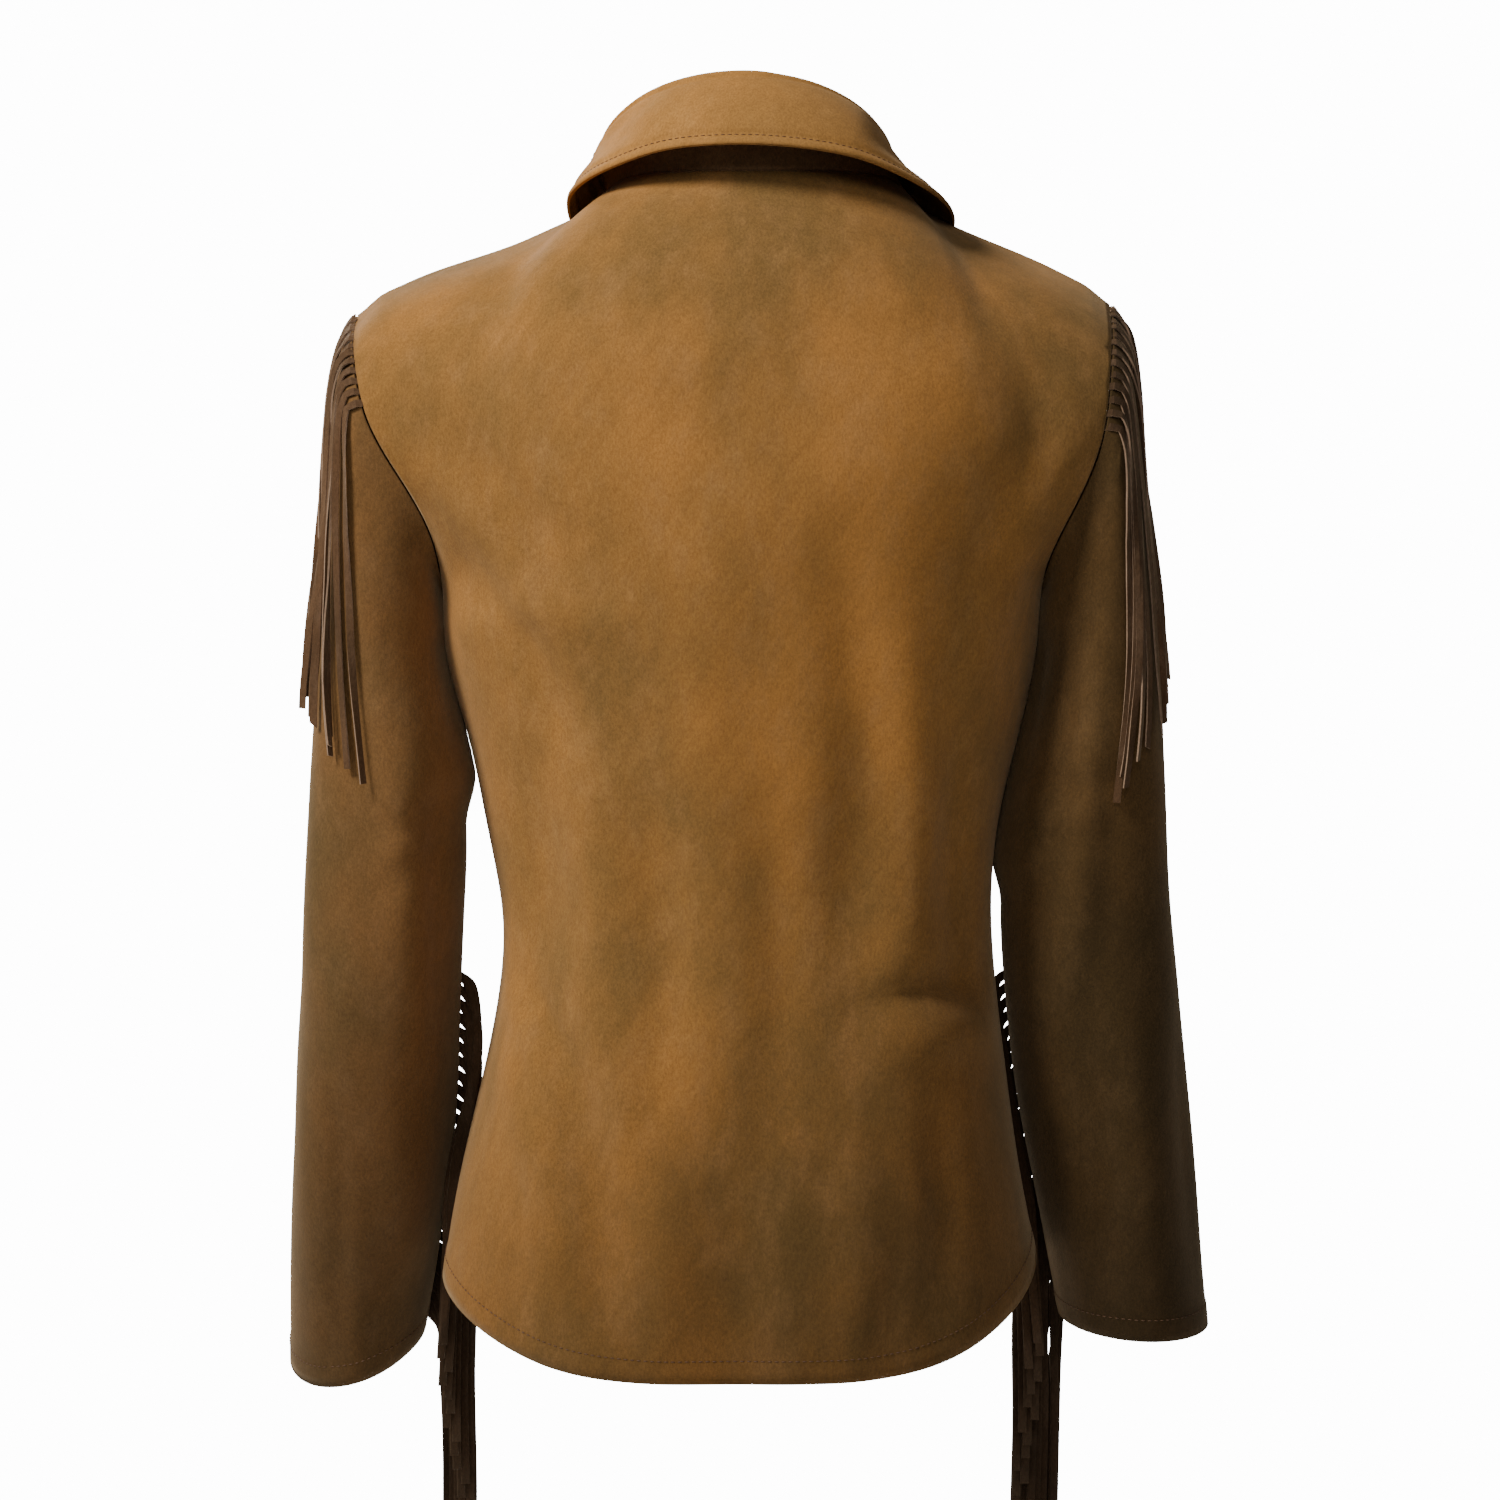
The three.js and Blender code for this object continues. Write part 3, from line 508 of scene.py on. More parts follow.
# ---------------------------------------------------------------------------------------------
# Sleeves. Each is one tube of suede, set into the armhole and bent a little at the elbow, with
# a turned-up cuff. Long soft folds hang down it and short creases gather inside the elbow.
SLEEVES = {
    "left": {
        "middle": [  # mm, where the arm's axis runs: z, x, y
            (-60, -208, -4), (-245, -206, -2), (-330, -198, 0), (-380, -201, 6), (-430, -205, 17),
            (-485, -208, 32), (-540, -213, 50), (-590, -219, 68), (-640, -224, 83),
        ],
        "behind": [
            ([(-188, -250), (-184, -330), (-181, -470)], 11, 3.4),
            ([(-170, -236), (-168, -330), (-170, -450)], 8, -3.2),
            ([(-212, -200), (-208, -300), (-206, -400)], 13, -3.4),
            ([(-232, -260), (-236, -350), (-240, -430)], 9, 2.8),
            ([(-162, -318), (-184, -338), (-212, -336)], 6, -2.4),
            ([(-160, -346), (-180, -356), (-200, -376)], 5.5, -2.2),
            ([(-208, -430), (-212, -520), (-206, -600)], 14, -3.2),
            ([(-238, -440), (-243, -530), (-246, -620)], 11, 2.8),
            ([(-184, -500), (-190, -560), (-188, -620)], 10, 2.6),
            ([(-196, -96), (-206, -140), (-200, -190)], 10, -2.6),
            ([(-224, -490), (-226, -560), (-230, -640)], 7, -2.2),
        ],
        "before": [
            ([(-186, -230), (-182, -320), (-184, -420)], 11, -3.2),
            ([(-216, -180), (-220, -280), (-222, -380)], 12, 3.0),
            ([(-164, -326), (-190, -346), (-224, -344)], 6, -3.2),
            ([(-166, -352), (-190, -372), (-216, -378)], 6, 2.6),
            ([(-168, -378), (-192, -396), (-224, -392)], 6, -3.0),
            ([(-200, -430), (-204, -520), (-212, -600)], 13, 3.0),
            ([(-236, -420), (-240, -510), (-246, -600)], 10, -3.0),
            ([(-190, -500), (-196, -560), (-198, -630)], 9, -2.6),
            ([(-206, -86), (-212, -130), (-204, -180)], 10, -2.6),
        ],
        "flat": (0.31, 0.6),
        "area": 0.158,
    },
    "right": {
        "middle": [
            (-60, 192, -4), (-245, 192, -2), (-330, 186, 0), (-380, 184, 4), (-430, 188, 10),
            (-480, 194, 15), (-530, 201, 20), (-575, 207, 24), (-625, 214, 29),
        ],
        "behind": [
            ([(178, -150), (168, -230), (157, -320), (150, -400)], 14, -5.5),
            ([(184, -250), (180, -340), (172, -440)], 11, 3.4),
            ([(196, -190), (192, -300), (190, -410)], 13, -3.6),
            ([(216, -250), (220, -350), (224, -450)], 10, 2.8),
            ([(150, -300), (170, -318), (196, -314)], 6, -2.6),
            ([(146, -336), (166, -346), (190, -344)], 5.5, -2.2),
            ([(180, -400), (184, -490), (194, -580)], 12, -3.2),
            ([(208, -420), (214, -510), (220, -600)], 12, 3.0),
            ([(236, -440), (240, -520), (246, -600)], 8, -2.6),
            ([(170, -470), (178, -540), (186, -600)], 9, 2.6),
            ([(180, -96), (192, -140), (186, -196)], 10, -2.6),
        ],
        "before": [
            ([(172, -240), (166, -320), (168, -410)], 11, -3.0),
            ([(200, -170), (206, -270), (208, -380)], 12, 3.0),
            ([(150, -322), (176, -340), (208, -336)], 6, -3.0),
            ([(148, -350), (174, -366), (204, -370)], 6, 2.6),
            ([(150, -374), (176, -390), (208, -388)], 6, -2.8),
            ([(186, -430), (192, -510), (202, -590)], 13, 3.0),
            ([(222, -410), (228, -500), (236, -590)], 10, -3.0),
            ([(190, -86), (196, -130), (188, -180)], 10, -2.4),
        ],
        "flat": (0.3, 0.58),
        "area": 0.15,
    },
}


ARM_WIDE = 0.75  # times its depth


def out_of_sleeve(points, middle):
    """Level directions straight out of the arm's axis."""
    rows = np.array(sorted(middle)) * MM
    out = np.zeros_like(points)
    out[:, 0] = (points[:, 0] - np.interp(points[:, 2], rows[:, 0], rows[:, 1])) / ARM_WIDE
    out[:, 1] = points[:, 1] - np.interp(points[:, 2], rows[:, 0], rows[:, 2])
    return out / np.linalg.norm(out, axis=1)[:, None]


# Painted shade: both sleeves are the body's suede painted darker, and the right one darker still, for the
# light that reaches them less.
sleeve_suede_painted_shade = {
    "left": suede(
        "left sleeve suede painted shade", (0.205, 0.098, 0.032), (0.115, 0.068, 0.024), (0.25, 0.135, 0.055),
        sheen=0.25),
    "right": suede(
        "right sleeve suede painted deep shade", (0.12, 0.062, 0.02), (0.06, 0.036, 0.013), (0.15, 0.085, 0.033),
        sheen=0.2),
}
TOUCH = {  # mm, where each sleeve lies against the body: from, full, to, end, and how far it reaches
    "left": (-196, -236, -306, -338, 8.8),
    "right": (-196, -232, -352, -380, 7.0),
}
HEAD_PEAK = {"rise": 3.4, "wide": 11}  # mm, the head reaches up into the peak of the shoulder seam
SLEEVE_SWELL = (1.6, 0.05)  # mm in and out, and metres across
SLEEVE_FADE = {  # shares of the outward direction, and gaps in metres from the armhole seam
    "facing": (0.05, 0.5), "inner": (0.2, 0.9), "seam": (0, 0.035), "peak": (0.003, 0.03),
}

sleeves = {}
for side, cut in SLEEVES.items():
    node = f"sleeve_{side}"
    sleeve = smooth_copy(node, f"suede_sleeve_{side}", 3)
    points = points_of(sleeve)
    out = out_of_sleeve(points, cut["middle"])
    lift = SLEEVE_SWELL[0] * MM * waver(points * (1, 1, 0.6), SLEEVE_SWELL[1], 7)
    for facing, folds in ((-1, cut["behind"]), (1, cut["before"])):
        here = soft_step(facing * out[:, 1], *SLEEVE_FADE["facing"])
        for path, width, depth in folds:
            lift += here * fold(points[:, [0, 2]], path, width, depth)
    head = gap_to(points, cut_edges(sleeve, lambda e: e.verts[0].co.z > -0.3))
    lift *= soft_step(head, *SLEEVE_FADE["seam"])
    lift += turned_edge(gap_to(points, cut_edges(sleeve, hanging)))
    begin, full, until, end, reach = TOUCH[side]
    height = points[:, 2] / MM
    near = soft_step(-height, -begin, -full) * (1 - soft_step(-height, -until, -end))
    sign = -1 if side == "left" else 1
    lift += reach * MM * near * soft_step(-sign * out[:, 0], *SLEEVE_FADE["inner"])
    points += out * lift[:, None]
    tip = points[points[:, 2].argmax(), 1]
    peak = np.exp(-(((points[:, 1] - tip) / (HEAD_PEAK["wide"] * MM)) ** 2))
    points[:, 2] += HEAD_PEAK["rise"] * MM * peak * (1 - soft_step(head, *SLEEVE_FADE["peak"]))
    put_points(sleeve, points)
    two_sided(sleeve, lambda p: out_of_sleeve(p, cut["middle"]), sleeve_suede_painted_shade[side], reverse_suede)
    wear(sleeve, node)
    sleeves[side] = sleeve

# ---------------------------------------------------------------------------------------------
# Collar. A standing band sewn to the neck seam and a leaf that turns over it and falls open at
# the front. The leaf is two layers seamed together, with a row of stitches inside its edge.
NECK_MIDDLE = (2, 6)  # mm, in plan
BAND_SUNK = {"deep": 1.9, "fades": (1, 7)}  # mm, its lower edge goes down into the neck seam
LEAF = {  # mm: what follows the leaf's edge, then how its left and right ends are drawn in
    "stitch in": 6.2, "groove": 1.3, "groove wide": 1.8, "rim": 0.6, "rim in": 2.5, "rim wide": 2.2,
    "ripple": 0.7, "flat edge": 20, "drawn in": (5.5, 9.5), "middle": 4, "ends": (50, 88),
    "off edge": (2, 22),
}


def out_of_neck(points):
    out = np.zeros_like(points)
    out[:, :2] = points[:, :2] - np.array(NECK_MIDDLE) * MM
    return out / np.linalg.norm(out, axis=1)[:, None]


collar_suede = suede(
    "collar suede", (0.44, 0.2, 0.05), (0.25, 0.135, 0.04), (0.45, 0.235, 0.075),
    patchiness=0.6, sheen=0.18)
band_suede = suede(
    "collar band suede", (0.3, 0.16, 0.07), (0.2, 0.11, 0.05), (0.33, 0.19, 0.09),
    patchiness=0.6, sheen=0.1)
stand = smooth_copy("collar_stand", "collar_band", 3)
points = points_of(stand)
sewn = cut_edges(stand, lambda e: min(f.normal.z for f in e.link_faces) < -0.6)
sewn_gap = gap_to(points, sewn) / MM
points[:, 2] -= BAND_SUNK["deep"] * MM * (1 - soft_step(sewn_gap, *BAND_SUNK["fades"]))
put_points(stand, points)
two_sided(stand, out_of_neck, band_suede, reverse_suede)
wear(stand, "collar_stand")

leaf = smooth_copy("collar_leaf", "collar_fall", 3)
points = points_of(leaf)
edge_gap = gap_to(points, cut_edges(leaf, lambda e: True)) / MM
lift = LEAF["ripple"] * waver(points, 0.04, 9) * soft_step(edge_gap, 0, LEAF["flat edge"])
ends = soft_step(abs(points[:, 0] / MM - LEAF["middle"]), *LEAF["ends"])
drawn = np.where(points[:, 0] < 0, *LEAF["drawn in"])
lift -= drawn * ends * soft_step(edge_gap, *LEAF["off edge"])
groove = (edge_gap - LEAF["stitch in"]) / LEAF["groove wide"]
rim = (edge_gap - LEAF["rim in"]) / LEAF["rim wide"]
lift += LEAF["rim"] * np.exp(-(rim ** 2)) - LEAF["groove"] * np.exp(-(groove ** 2))
put_points(leaf, points + out_of_neck(points) * (lift * MM)[:, None])
two_sided(leaf, out_of_neck, collar_suede, band_suede)
wear(leaf, "collar_leaf")

# ---------------------------------------------------------------------------------------------
# Topstitching. Brown twisted thread in even stitches round the hem, the front edges, the cuffs
# and the collar leaf. Each stitch is a slim oval set partly into the cloth.
thread = bpy.data.materials.new("sewing thread")
thread.use_nodes = True
shader = thread.node_tree.nodes["Principled BSDF"]
place = thread.node_tree.nodes.new("ShaderNodeTexCoord")
twist = thread.node_tree.nodes.new("ShaderNodeTexNoise")
twist.inputs["Scale"].default_value = 900
thread.node_tree.links.new(place.outputs["Object"], twist.inputs["Vector"])
shade = blend_colours(
    thread.node_tree, twist.outputs["Fac"], (0.06, 0.025, 0.01, 1), (0.16, 0.075, 0.03, 1))
thread.node_tree.links.new(shade, shader.inputs["Base Color"])
shader.inputs["Roughness"].default_value = 0.6

STITCH_IN = {"hem": 0.012, "front": 0.008}  # metres from the edge


def seam_path(piece, wanted, distance, out):
    """Ordered (point, normal) pairs on the outer face, at an even distance from a cut edge."""
    points = points_of(piece)
    gap = gap_to(points, cut_edges(piece, wanted)) - distance
    bm = bmesh.new()
    bm.from_mesh(piece.data)
    links, spots = {}, {}
    for face in bm.faces:
        middle = np.array(face.calc_center_median())[None]
        if Vector(out(middle)[0]).dot(face.normal) < 0.05:
            continue
        crossed = [e for e in face.edges if gap[e.verts[0].index] * gap[e.verts[1].index] < 0]
        if len(crossed) != 2:
            continue
        for edge, other in (crossed, crossed[::-1]):
            links.setdefault(edge.index, []).append(other.index)
            a, b = edge.verts
            share = gap[a.index] / (gap[a.index] - gap[b.index])
            spots[edge.index] = (a.co.lerp(b.co, share), a.normal.lerp(b.normal, share).normalized())
    bm.free()
    paths, left = [], set(links)
    while left:
        ends = [k for k in left if len(links[k]) == 1]
        here = min(ends) if ends else min(left)
        walk = []
        while here is not None:
            left.discard(here)
            walk.append(spots[here])
            here = next((k for k in links[here] if k in left), None)
        if len(walk) > 8:
            paths.append(walk)
    return paths


def topstitch(name, paths, pitch=3.6, length=2.7, radius=0.32, proud=0.12):
    """Rows of stitches along the paths, all in mm."""
    bm = bmesh.new()
    for walk in paths:
        spots = np.array([p for p, n in walk])
        normals = np.array([n for p, n in walk])
        run = np.concatenate([[0], np.cumsum(np.linalg.norm(np.diff(spots, axis=0), axis=1))])
        count = int(run[-1] / (pitch * MM))
        for k in range(count):
            middle = (k + 0.5) * run[-1] / count
            at = [Vector(np.array([np.interp(s, run, spots[:, i]) for i in range(3)]))
                  for s in (middle - 0.5 * length * MM, middle + 0.5 * length * MM)]
            up = Vector([np.interp(middle, run, normals[:, i]) for i in range(3)]).normalized()
            along = (at[1] - at[0]).normalized()
            across = up.cross(along).normalized()
            turn = Matrix((along, across, up)).transposed().to_4x4()
            centre = (at[0] + at[1]) / 2 + up * proud * MM
            size = Matrix.Diagonal((length / 2 * MM, radius * MM, radius * MM, 1))
            bmesh.ops.create_icosphere(
                bm, subdivisions=1, radius=1, matrix=Matrix.Translation(centre) @ turn @ size)
    mesh = bpy.data.meshes.new(name)
    bm.to_mesh(mesh)
    bm.free()
    mesh.shade_smooth()
    mesh.materials.append(thread)
    row = bpy.data.objects.new(name, mesh)
    scene.collection.objects.link(row)
    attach(row, "root")
    return row


def open_front(edge):
    """The overlapping edges down the middle of the fronts."""
    point = edge.verts[0].co
    return abs(point.x + 0.002) < 0.05 and point.y > 0.05 and max(
        abs(f.normal.x) for f in edge.link_faces) > 0.8


def leaf_rim(edge):
    """The leaf's falling edge and its front ends, not the fold along the neck."""
    point = edge.verts[0].co
    reach = math.hypot(point.x - NECK_MIDDLE[0] * MM, point.y - NECK_MIDDLE[1] * MM)
    return point.z < 0.034 and reach > 0.083


topstitch("hem_stitches_back", seam_path(back, hanging, STITCH_IN["hem"], out_of_body))
for panel, side in ((front_left, "left"), (front_right, "right")):
    topstitch(f"hem_stitches_{side}", seam_path(panel, hanging, STITCH_IN["hem"], out_of_body))
    edge_path = seam_path(panel, open_front, STITCH_IN["front"], out_of_body)
    topstitch(f"front_edge_stitches_{side}", edge_path)
for side, sleeve in sleeves.items():
    out = lambda p: out_of_sleeve(p, SLEEVES[side]["middle"])
    topstitch(f"cuff_stitches_{side}", seam_path(sleeve, hanging, STITCH_IN["hem"], out))
topstitch("collar_stitches", seam_path(leaf, leaf_rim, LEAF["stitch in"] * MM, out_of_neck))

# ---------------------------------------------------------------------------------------------
# Fringe. Flat thongs cut from strips of thinner suede, caught in the armhole and sleeve seams.
# They hang by their own weight, a little curled, with paler raw edges where the knife ran.
# Painted shade: the thongs' faces are painted much darker than the cloth, for the shade they hang in; the
# raw cut edges keep a paler tone.
thong_suede_painted_shade = suede(
    "thong suede painted shade", (0.12, 0.062, 0.03), (0.055, 0.031, 0.016), (0.2, 0.125, 0.075), sheen=0.3)
thong_edge = suede(
    "thong cut edge", (0.32, 0.21, 0.14), (0.2, 0.13, 0.085), (0.4, 0.28, 0.2),
    patchiness=0.6, sheen=0.2)
THONG = {"wide": 4.4, "thick": 0.9, "length": 210, "count": 28}  # mm, in each seam
CURL = {"turn": 2.6, "wander": 3.4, "uneven": 0.16, "slant": 5}  # radians, mm, share and mm
SUNK = {"left": 3.2, "right": 1.2}  # mm, how far each lower strip is caught in its sleeve's seam
CAUGHT = (0.003, 0.009)  # metres from the sleeve, over which the seam lets go of the strip
SWAY = {"by": 1.6, "from": (0.03, 0.16)}  # mm sideways, growing in over these metres of drop
LAYERS = (0, 1.3, 0.6, 1.9)  # mm, how far the thongs lie over one another, in turn
LIE = {"clear": 0.9, "out at end": 1.6}  # mm, how far every thong stands off the sleeve
LAYER_AT_ROOT = 0.4  # share of a layer's height
STEER = {"gain": 3.2, "least": 0.12}  # how hard a thong turns to its place round the arm
STEP = {"fine": 3.0, "fine for": 40, "coarse": 7.0}  # mm between a thong's points
ROOT_OUT = (1.4, 0.25)  # the seam throws each root outwards and up
ARM_OVAL = 1.5  # depth to width, for angles round the arm
SETTLE = {"root": 7, "turn": 16, "layer": 60, "drift": 200}  # mm of a thong's run, to its full effect
FAN = {"half": 72, "bunch": 5, "bunch of": 4.4, "uneven": 7}  # degrees round the arm, and thongs
ARMHOLE_FRINGE = {  # z of the lowest root behind and in front, mm, and how the back ones drift
    "left": {"behind": -113, "before": -128, "drift": -0.32},
    "right": {"behind": -125, "before": -132, "drift": -0.34},
}


def armhole_line(sleeve, middle_z=-0.14, until=150, every=5, within=4):
    """The armhole seam as points from low behind, over the tip, to low in front, by degrees."""
    points = points_of(sleeve)
    rim = points[sorted(cut_edges(sleeve, lambda e: e.verts[0].co.z > -0.3))]
    angle = np.degrees(np.arctan2(rim[:, 1], rim[:, 2] - middle_z))
    marks = range(-until, until + 1, every)
    return np.array([rim[np.abs(angle - mark) < within].mean(axis=0) for mark in marks])


def hang_thong(surface, middle, root, goal, layer, drift, sign):
    """Points and normals of one thong, from its root in the seam to its free end."""
    spot, spots, normals = Vector(root), [], []
    run, step = 0.0, STEP["fine"]
    while run <= THONG["length"]:
        near, normal = surface.find_nearest(spot)[:2]
        apart = LAYER_AT_ROOT + (1 - LAYER_AT_ROOT) * min(run / SETTLE["layer"], 1)
        stand = LIE["clear"] + layer * apart
        stand += LIE["out at end"] * min(run / THONG["length"], 1)
        spot = near + normal * (stand * MM)
        spots.append(spot.copy())
        normals.append(normal.copy())
        axis = [np.interp(spot.z / MM, middle[:, 0], middle[:, i]) * MM for i in (1, 2)]
        here = math.atan2((spot.y - axis[1]) / ARM_OVAL, sign * (spot.x - axis[0]))
        aim = goal + drift * min(run / SETTLE["drift"], 1)
        sideways = max(-1.0, min(1.0, (aim - here) * STEER["gain"]))
        sideways *= STEER["least"] + (1 - STEER["least"]) * math.exp(-run / SETTLE["turn"])
        round_it = Vector((-sign * math.sin(here), math.cos(here), 0))
        down = Vector((0, 0, -1)) * math.sqrt(1 - min(sideways * sideways, 0.96))
        ahead = (round_it * sideways + down).normalized()
        if run < SETTLE["root"]:
            ahead = (ahead + Vector((sign * ROOT_OUT[0], 0, ROOT_OUT[1]))).normalized()
        spot = spot + ahead * step * MM
        run += step
        step = STEP["fine"] if run < STEP["fine for"] else STEP["coarse"]
    return spots, normals


def cut_thongs(name, strands, seed):
    """Grids bent along the thongs' paths and thickened; the narrow faces are raw cut edges."""
    bm = bmesh.new()
    for k, (spots, normals) in enumerate(strands):
        count = len(spots) - 1
        grid = bmesh.ops.create_grid(bm, x_segments=2, y_segments=count, size=0.5)["verts"]
        for vert in grid:
            across, row = vert.co.x, round((vert.co.y + 0.5) * count)
            low, high = spots[max(row - 1, 0)], spots[min(row + 1, count)]
            along, normal = (high - low).normalized(), normals[row]
            side = along.cross(normal).normalized()
            share = row / count
            turn = CURL["turn"] * share ** 0.6 * noise.noise(Vector((k * 1.7, share * 1.6, seed)))
            side = (side * math.cos(turn) + side.cross(along) * math.sin(turn)).normalized()
            wide = THONG["wide"] * (0.9 + CURL["uneven"] * noise.noise(Vector((k * 2.3, seed, 4))))
            slant = CURL["slant"] * noise.noise(Vector((k * 3.1, 2, seed)))
            slant *= across * (row == count)
            wave = CURL["wander"] * noise.noise(Vector((k * 0.35, share * 2.2, seed + 3)))
            wave *= share
            clear = normal * 0.5 * wide * abs(math.sin(turn))
            vert.co = spots[row] + (side * (across * wide + wave) + along * slant + clear) * MM
    bmesh.ops.recalc_face_normals(bm, faces=bm.faces)
    bmesh.ops.solidify(bm, geom=bm.faces[:], thickness=THONG["thick"] * MM)
    bmesh.ops.recalc_face_normals(bm, faces=bm.faces)
    for face in bm.faces:
        face.material_index = int(min(e.calc_length() for e in face.edges) < THONG["thick"] * 1.25 * MM)
    mesh = bpy.data.meshes.new(name)
    bm.to_mesh(mesh)
    bm.free()
    mesh.materials.append(thong_suede_painted_shade)
    mesh.materials.append(thong_edge)
    piece = bpy.data.objects.new(name, mesh)
    scene.collection.objects.link(piece)
    return piece


for side, sign in (("left", -1), ("right", 1)):
    fringe = ARMHOLE_FRINGE[side]
    sleeve = sleeves[side]
    skin = bmesh.new()
    skin.from_mesh(sleeve.data)
    middle = np.array(sorted(SLEEVES[side]["middle"]), float)
    points = points_of(sleeve)
    inner = [f for f in skin.faces if f.material_index == 1]
    bmesh.ops.delete(skin, geom=inner, context="FACES")
    surface = BVHTree.FromBMesh(skin)
    skin.free()
    line = armhole_line(sleeve)
    tip = int(line[:, 2].argmax())
    first = min(range(tip), key=lambda i: abs(line[i, 2] - fringe["behind"] * MM))
    last = min(range(tip, len(line)), key=lambda i: abs(line[i, 2] - fringe["before"] * MM))
    seam = line[first:last + 1]
    run = np.concatenate([[0], np.cumsum(np.linalg.norm(np.diff(seam, axis=0), axis=1))])
    strands = []
    for k in range(THONG["count"]):
        place = run[-1] * k / (THONG["count"] - 1)
        root = [np.interp(place, run, seam[:, i]) for i in range(3)]
        share = 2 * k / (THONG["count"] - 1) - 1
        bunch = FAN["bunch"] * math.sin(2 * math.pi * k / FAN["bunch of"] + sign)
        stray = FAN["uneven"] * noise.noise(Vector((k * 1.3, sign, 1)))
        goal = math.radians(FAN["half"] * share + bunch + stray)
        drift = fringe["drift"] * max(0, -share - 0.45) / 0.55
        strands.append(hang_thong(surface, middle, root, goal, LAYERS[k % 4], drift, sign))
    thongs = cut_thongs(f"thongs_armhole_{side}", strands, 3 + sign)
    wear(thongs, f"fringe_armhole_{side}")

for side, shift in (("left", 9), ("right", 13)):
    node = f"fringe_sleeve_{side}"
    thongs = smooth_copy(node, f"thongs_sleeve_{side}", 2)
    points = points_of(thongs)
    loose = SWAY["by"] * MM * soft_step(points[:, 2].max() - points[:, 2], *SWAY["from"])
    for axis, size in ((0, 0.05), (1, 0.06)):
        points[:, axis] += loose * waver(points * (1, 1, 0.7), size, shift + axis)
    cloth = sleeves[side].data
    surface = BVHTree.FromPolygons([v.co for v in cloth.vertices], [p.vertices for p in cloth.polygons])
    gap = np.array([surface.find_nearest(Vector(p))[3] for p in points])
    caught = SUNK[side] * MM * (1 - soft_step(gap, *CAUGHT))
    points -= out_of_sleeve(points, SLEEVES[side]["middle"]) * caught[:, None]
    put_points(thongs, points)
    thongs.data.materials.clear()
    thongs.data.materials.append(thong_suede_painted_shade)
    thongs.data.materials.append(thong_edge)
    for face in thongs.data.polygons:
        face.material_index = int(abs(face.normal.y) < 0.4)
    wear(thongs, node)

# ---------------------------------------------------------------------------------------------
# Buttons. Six dark horn-coloured discs with a raised rim and four holes, sewn on with brown
# thread down the right front's edge.
horn = bpy.data.materials.new("button horn")
horn.use_nodes = True
shader = horn.node_tree.nodes["Principled BSDF"]
place = horn.node_tree.nodes.new("ShaderNodeTexCoord")
marble = cloud(horn.node_tree, place.outputs["Object"], 160, 4, 0.6, (1, 1, 0.4))
streaks = spread(horn.node_tree, marble, 0.35, 0.7)
shade = blend_colours(horn.node_tree, streaks, (0.035, 0.018, 0.008, 1), (0.13, 0.065, 0.03, 1))
horn.node_tree.links.new(shade, shader.inputs["Base Color"])
gloss = spread(horn.node_tree, marble, 0.3, 0.7, 0.28, 0.42)
horn.node_tree.links.new(gloss, shader.inputs["Roughness"])
shader.inputs["Specular IOR Level"].default_value = 0.5

BUTTON = {"radius": 7.5, "thick": 3.0, "rim": 1.3, "dish": 0.8, "hole": 0.85, "offset": 1.368}  # mm
BUTTON_THREAD = {"half": 2.3, "radius": 0.3, "aside": 0.25, "proud": 0.1}  # mm, two loops a pair of holes


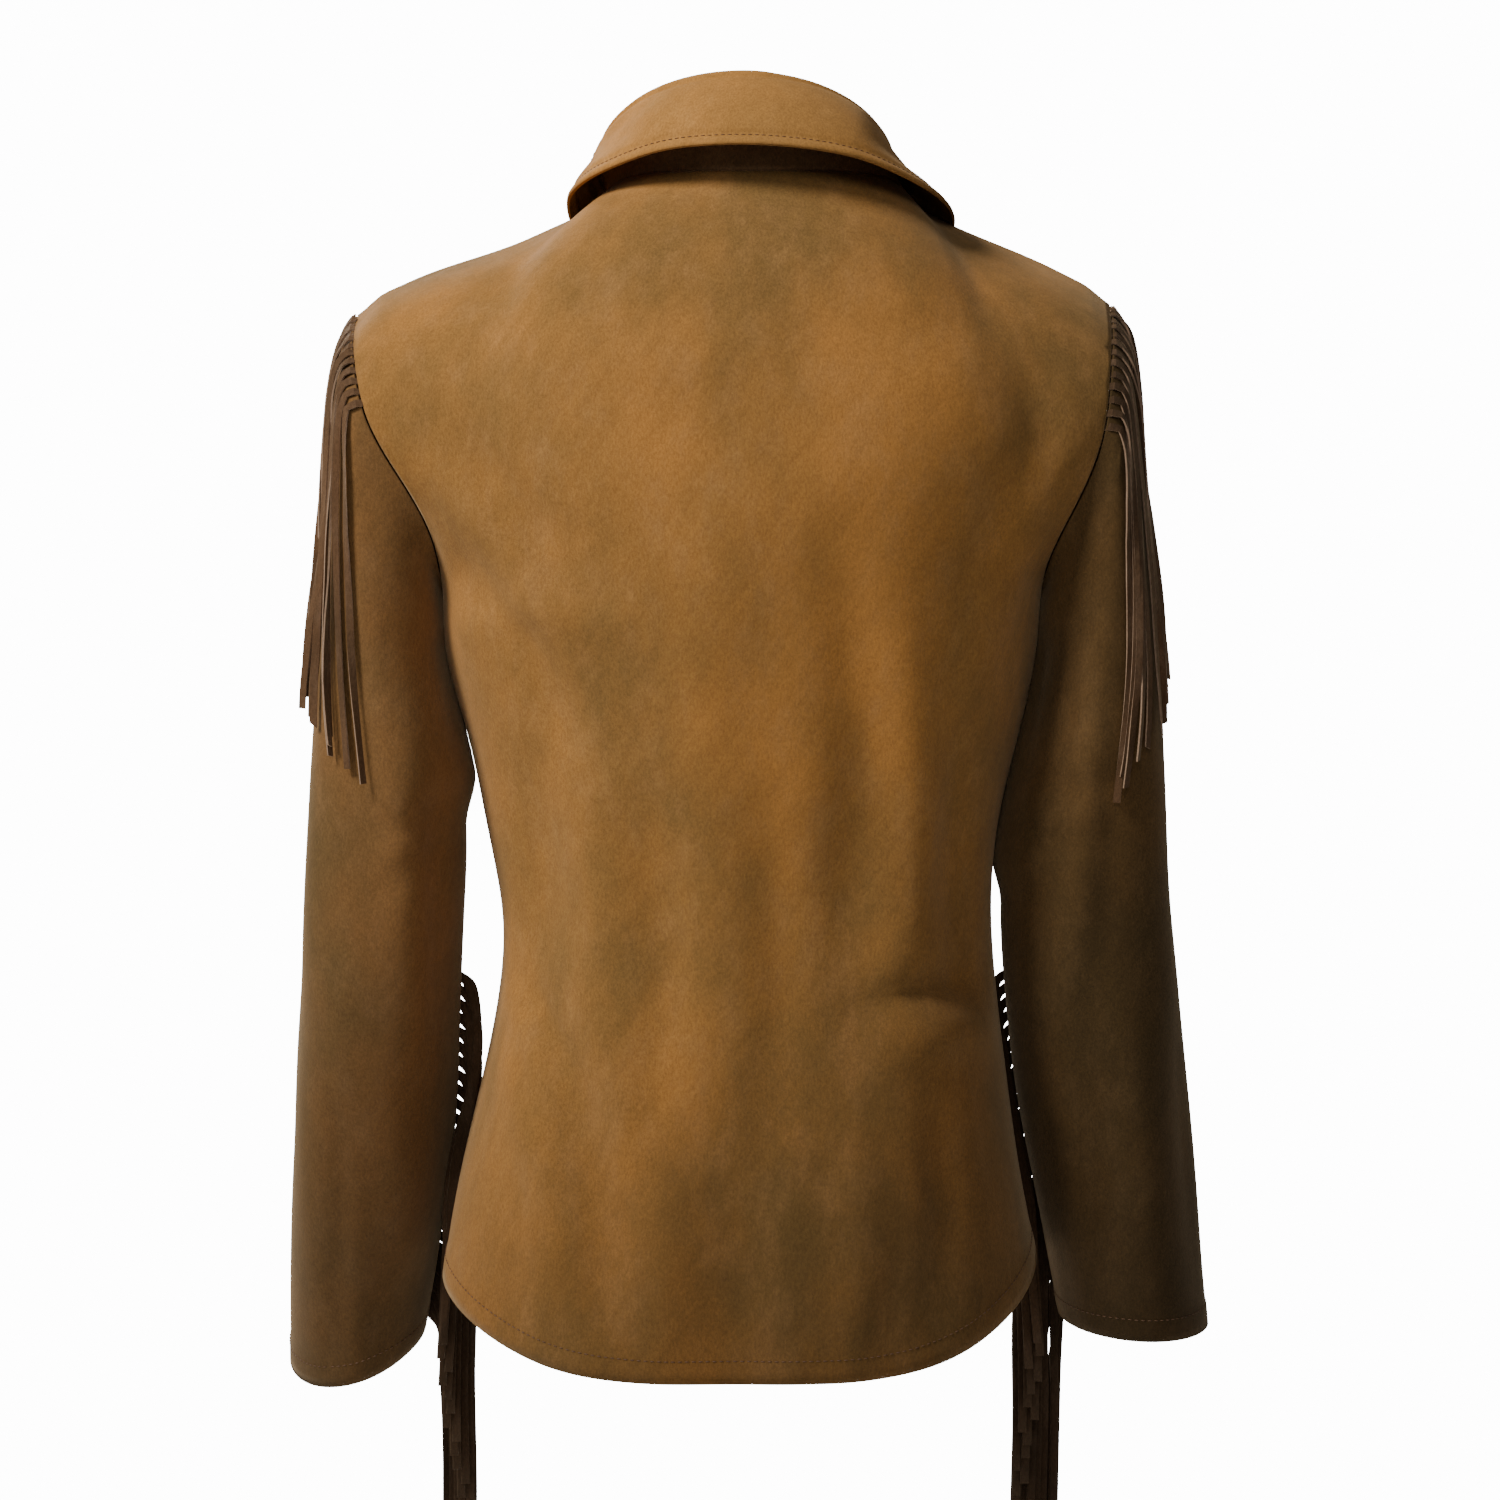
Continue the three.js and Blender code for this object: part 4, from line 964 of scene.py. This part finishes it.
def button_disc(name):
    """A turned disc lying on the XY plane with its face up, and its four holes."""
    radius, thick, hole = BUTTON["radius"], BUTTON["thick"], BUTTON["hole"]
    lip, floor_of_dish = radius - BUTTON["rim"], thick - BUTTON["dish"]
    profile = [
        (0, 0), (radius - 1.2, 0), (radius - 0.3, 0.5), (radius, 1.2),
        (radius, thick - 0.7), (radius - 0.35, thick - 0.15), (radius - 0.8, thick),
        (lip, thick - 0.15), (lip - 0.9, floor_of_dish), (0, floor_of_dish),
    ]
    bm = bmesh.new()
    verts = [bm.verts.new((r * MM, 0, h * MM)) for r, h in profile]
    edges = [bm.edges.new(pair) for pair in zip(verts, verts[1:])]
    bmesh.ops.spin(
        bm, geom=verts + edges, cent=(0, 0, 0), axis=(0, 0, 1), angle=2 * math.pi, steps=40,
        use_merge=True)
    bmesh.ops.remove_doubles(bm, verts=bm.verts, dist=1e-6)
    bmesh.ops.recalc_face_normals(bm, faces=bm.faces)
    disc = bpy.data.meshes.new(name)
    bm.to_mesh(disc)
    bm.free()
    bm = bmesh.new()
    for x, y in ((-1, -1), (-1, 1), (1, -1), (1, 1)):
        spot = Vector((x * BUTTON["offset"], y * BUTTON["offset"], thick / 2)) * MM
        bmesh.ops.create_cone(
            bm, cap_ends=True, segments=16, radius1=hole * MM, radius2=hole * MM, depth=8 * MM,
            matrix=Matrix.Translation(spot))
    drill_mesh = bpy.data.meshes.new("drill")
    bm.to_mesh(drill_mesh)
    bm.free()
    drill = bpy.data.objects.new("drill", drill_mesh)
    blank = bpy.data.objects.new("blank", disc)
    scene.collection.objects.link(drill)
    scene.collection.objects.link(blank)
    cut = blank.modifiers.new("holes", "BOOLEAN")
    cut.object = drill
    cut.operation = "DIFFERENCE"
    cut.solver = "EXACT"
    made = blank.evaluated_get(bpy.context.evaluated_depsgraph_get())
    pierced = bpy.data.meshes.new_from_object(made)
    bpy.data.objects.remove(drill)
    bpy.data.objects.remove(blank)
    return pierced


pierced = button_disc("button")
for k in range(1, 7):
    node = f"button_{k}"
    corners = np.array([v.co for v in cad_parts[node].data.vertices])
    centre = (corners.min(axis=0) + corners.max(axis=0)) / 2
    facing = Vector(np.linalg.svd(corners - corners.mean(axis=0))[2][2])
    facing *= math.copysign(1, facing.y)
    heights = (corners - centre) @ np.array(facing)
    turn = facing.to_track_quat("Z", "Y").to_matrix().to_4x4()
    spun = turn @ Matrix.Rotation(0.2 * k, 4, "Z")
    seat = Matrix.Translation(Vector(centre) + facing * heights.min()) @ spun
    mesh = pierced.copy()
    mesh.transform(seat)
    mesh.materials.clear()
    mesh.materials.append(horn)
    mesh.shade_smooth()
    mesh.set_sharp_from_angle(angle=math.radians(40))
    disc = bpy.data.objects.new(f"horn_button_{k}", mesh)
    scene.collection.objects.link(disc)
    wear(disc, node)
    bm = bmesh.new()
    for y in (-1, 1):
        for shift in (-BUTTON_THREAD["aside"], BUTTON_THREAD["aside"]):
            long, thin = BUTTON_THREAD["half"] * MM, BUTTON_THREAD["radius"] * MM
            above = BUTTON["thick"] - BUTTON["dish"] + BUTTON_THREAD["proud"]
            spot = Matrix.Translation(Vector((0, y * BUTTON["offset"] + shift, above)) * MM)
            bmesh.ops.create_icosphere(
                bm, subdivisions=2, radius=1, matrix=spot @ Matrix.Diagonal((long, thin, thin, 1)))
    mesh = bpy.data.meshes.new(f"button_thread_{k}")
    bm.to_mesh(mesh)
    bm.free()
    mesh.transform(seat)
    mesh.shade_smooth()
    mesh.materials.append(thread)
    loop = bpy.data.objects.new(f"button_thread_{k}", mesh)
    scene.collection.objects.link(loop)
    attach(loop, "root")
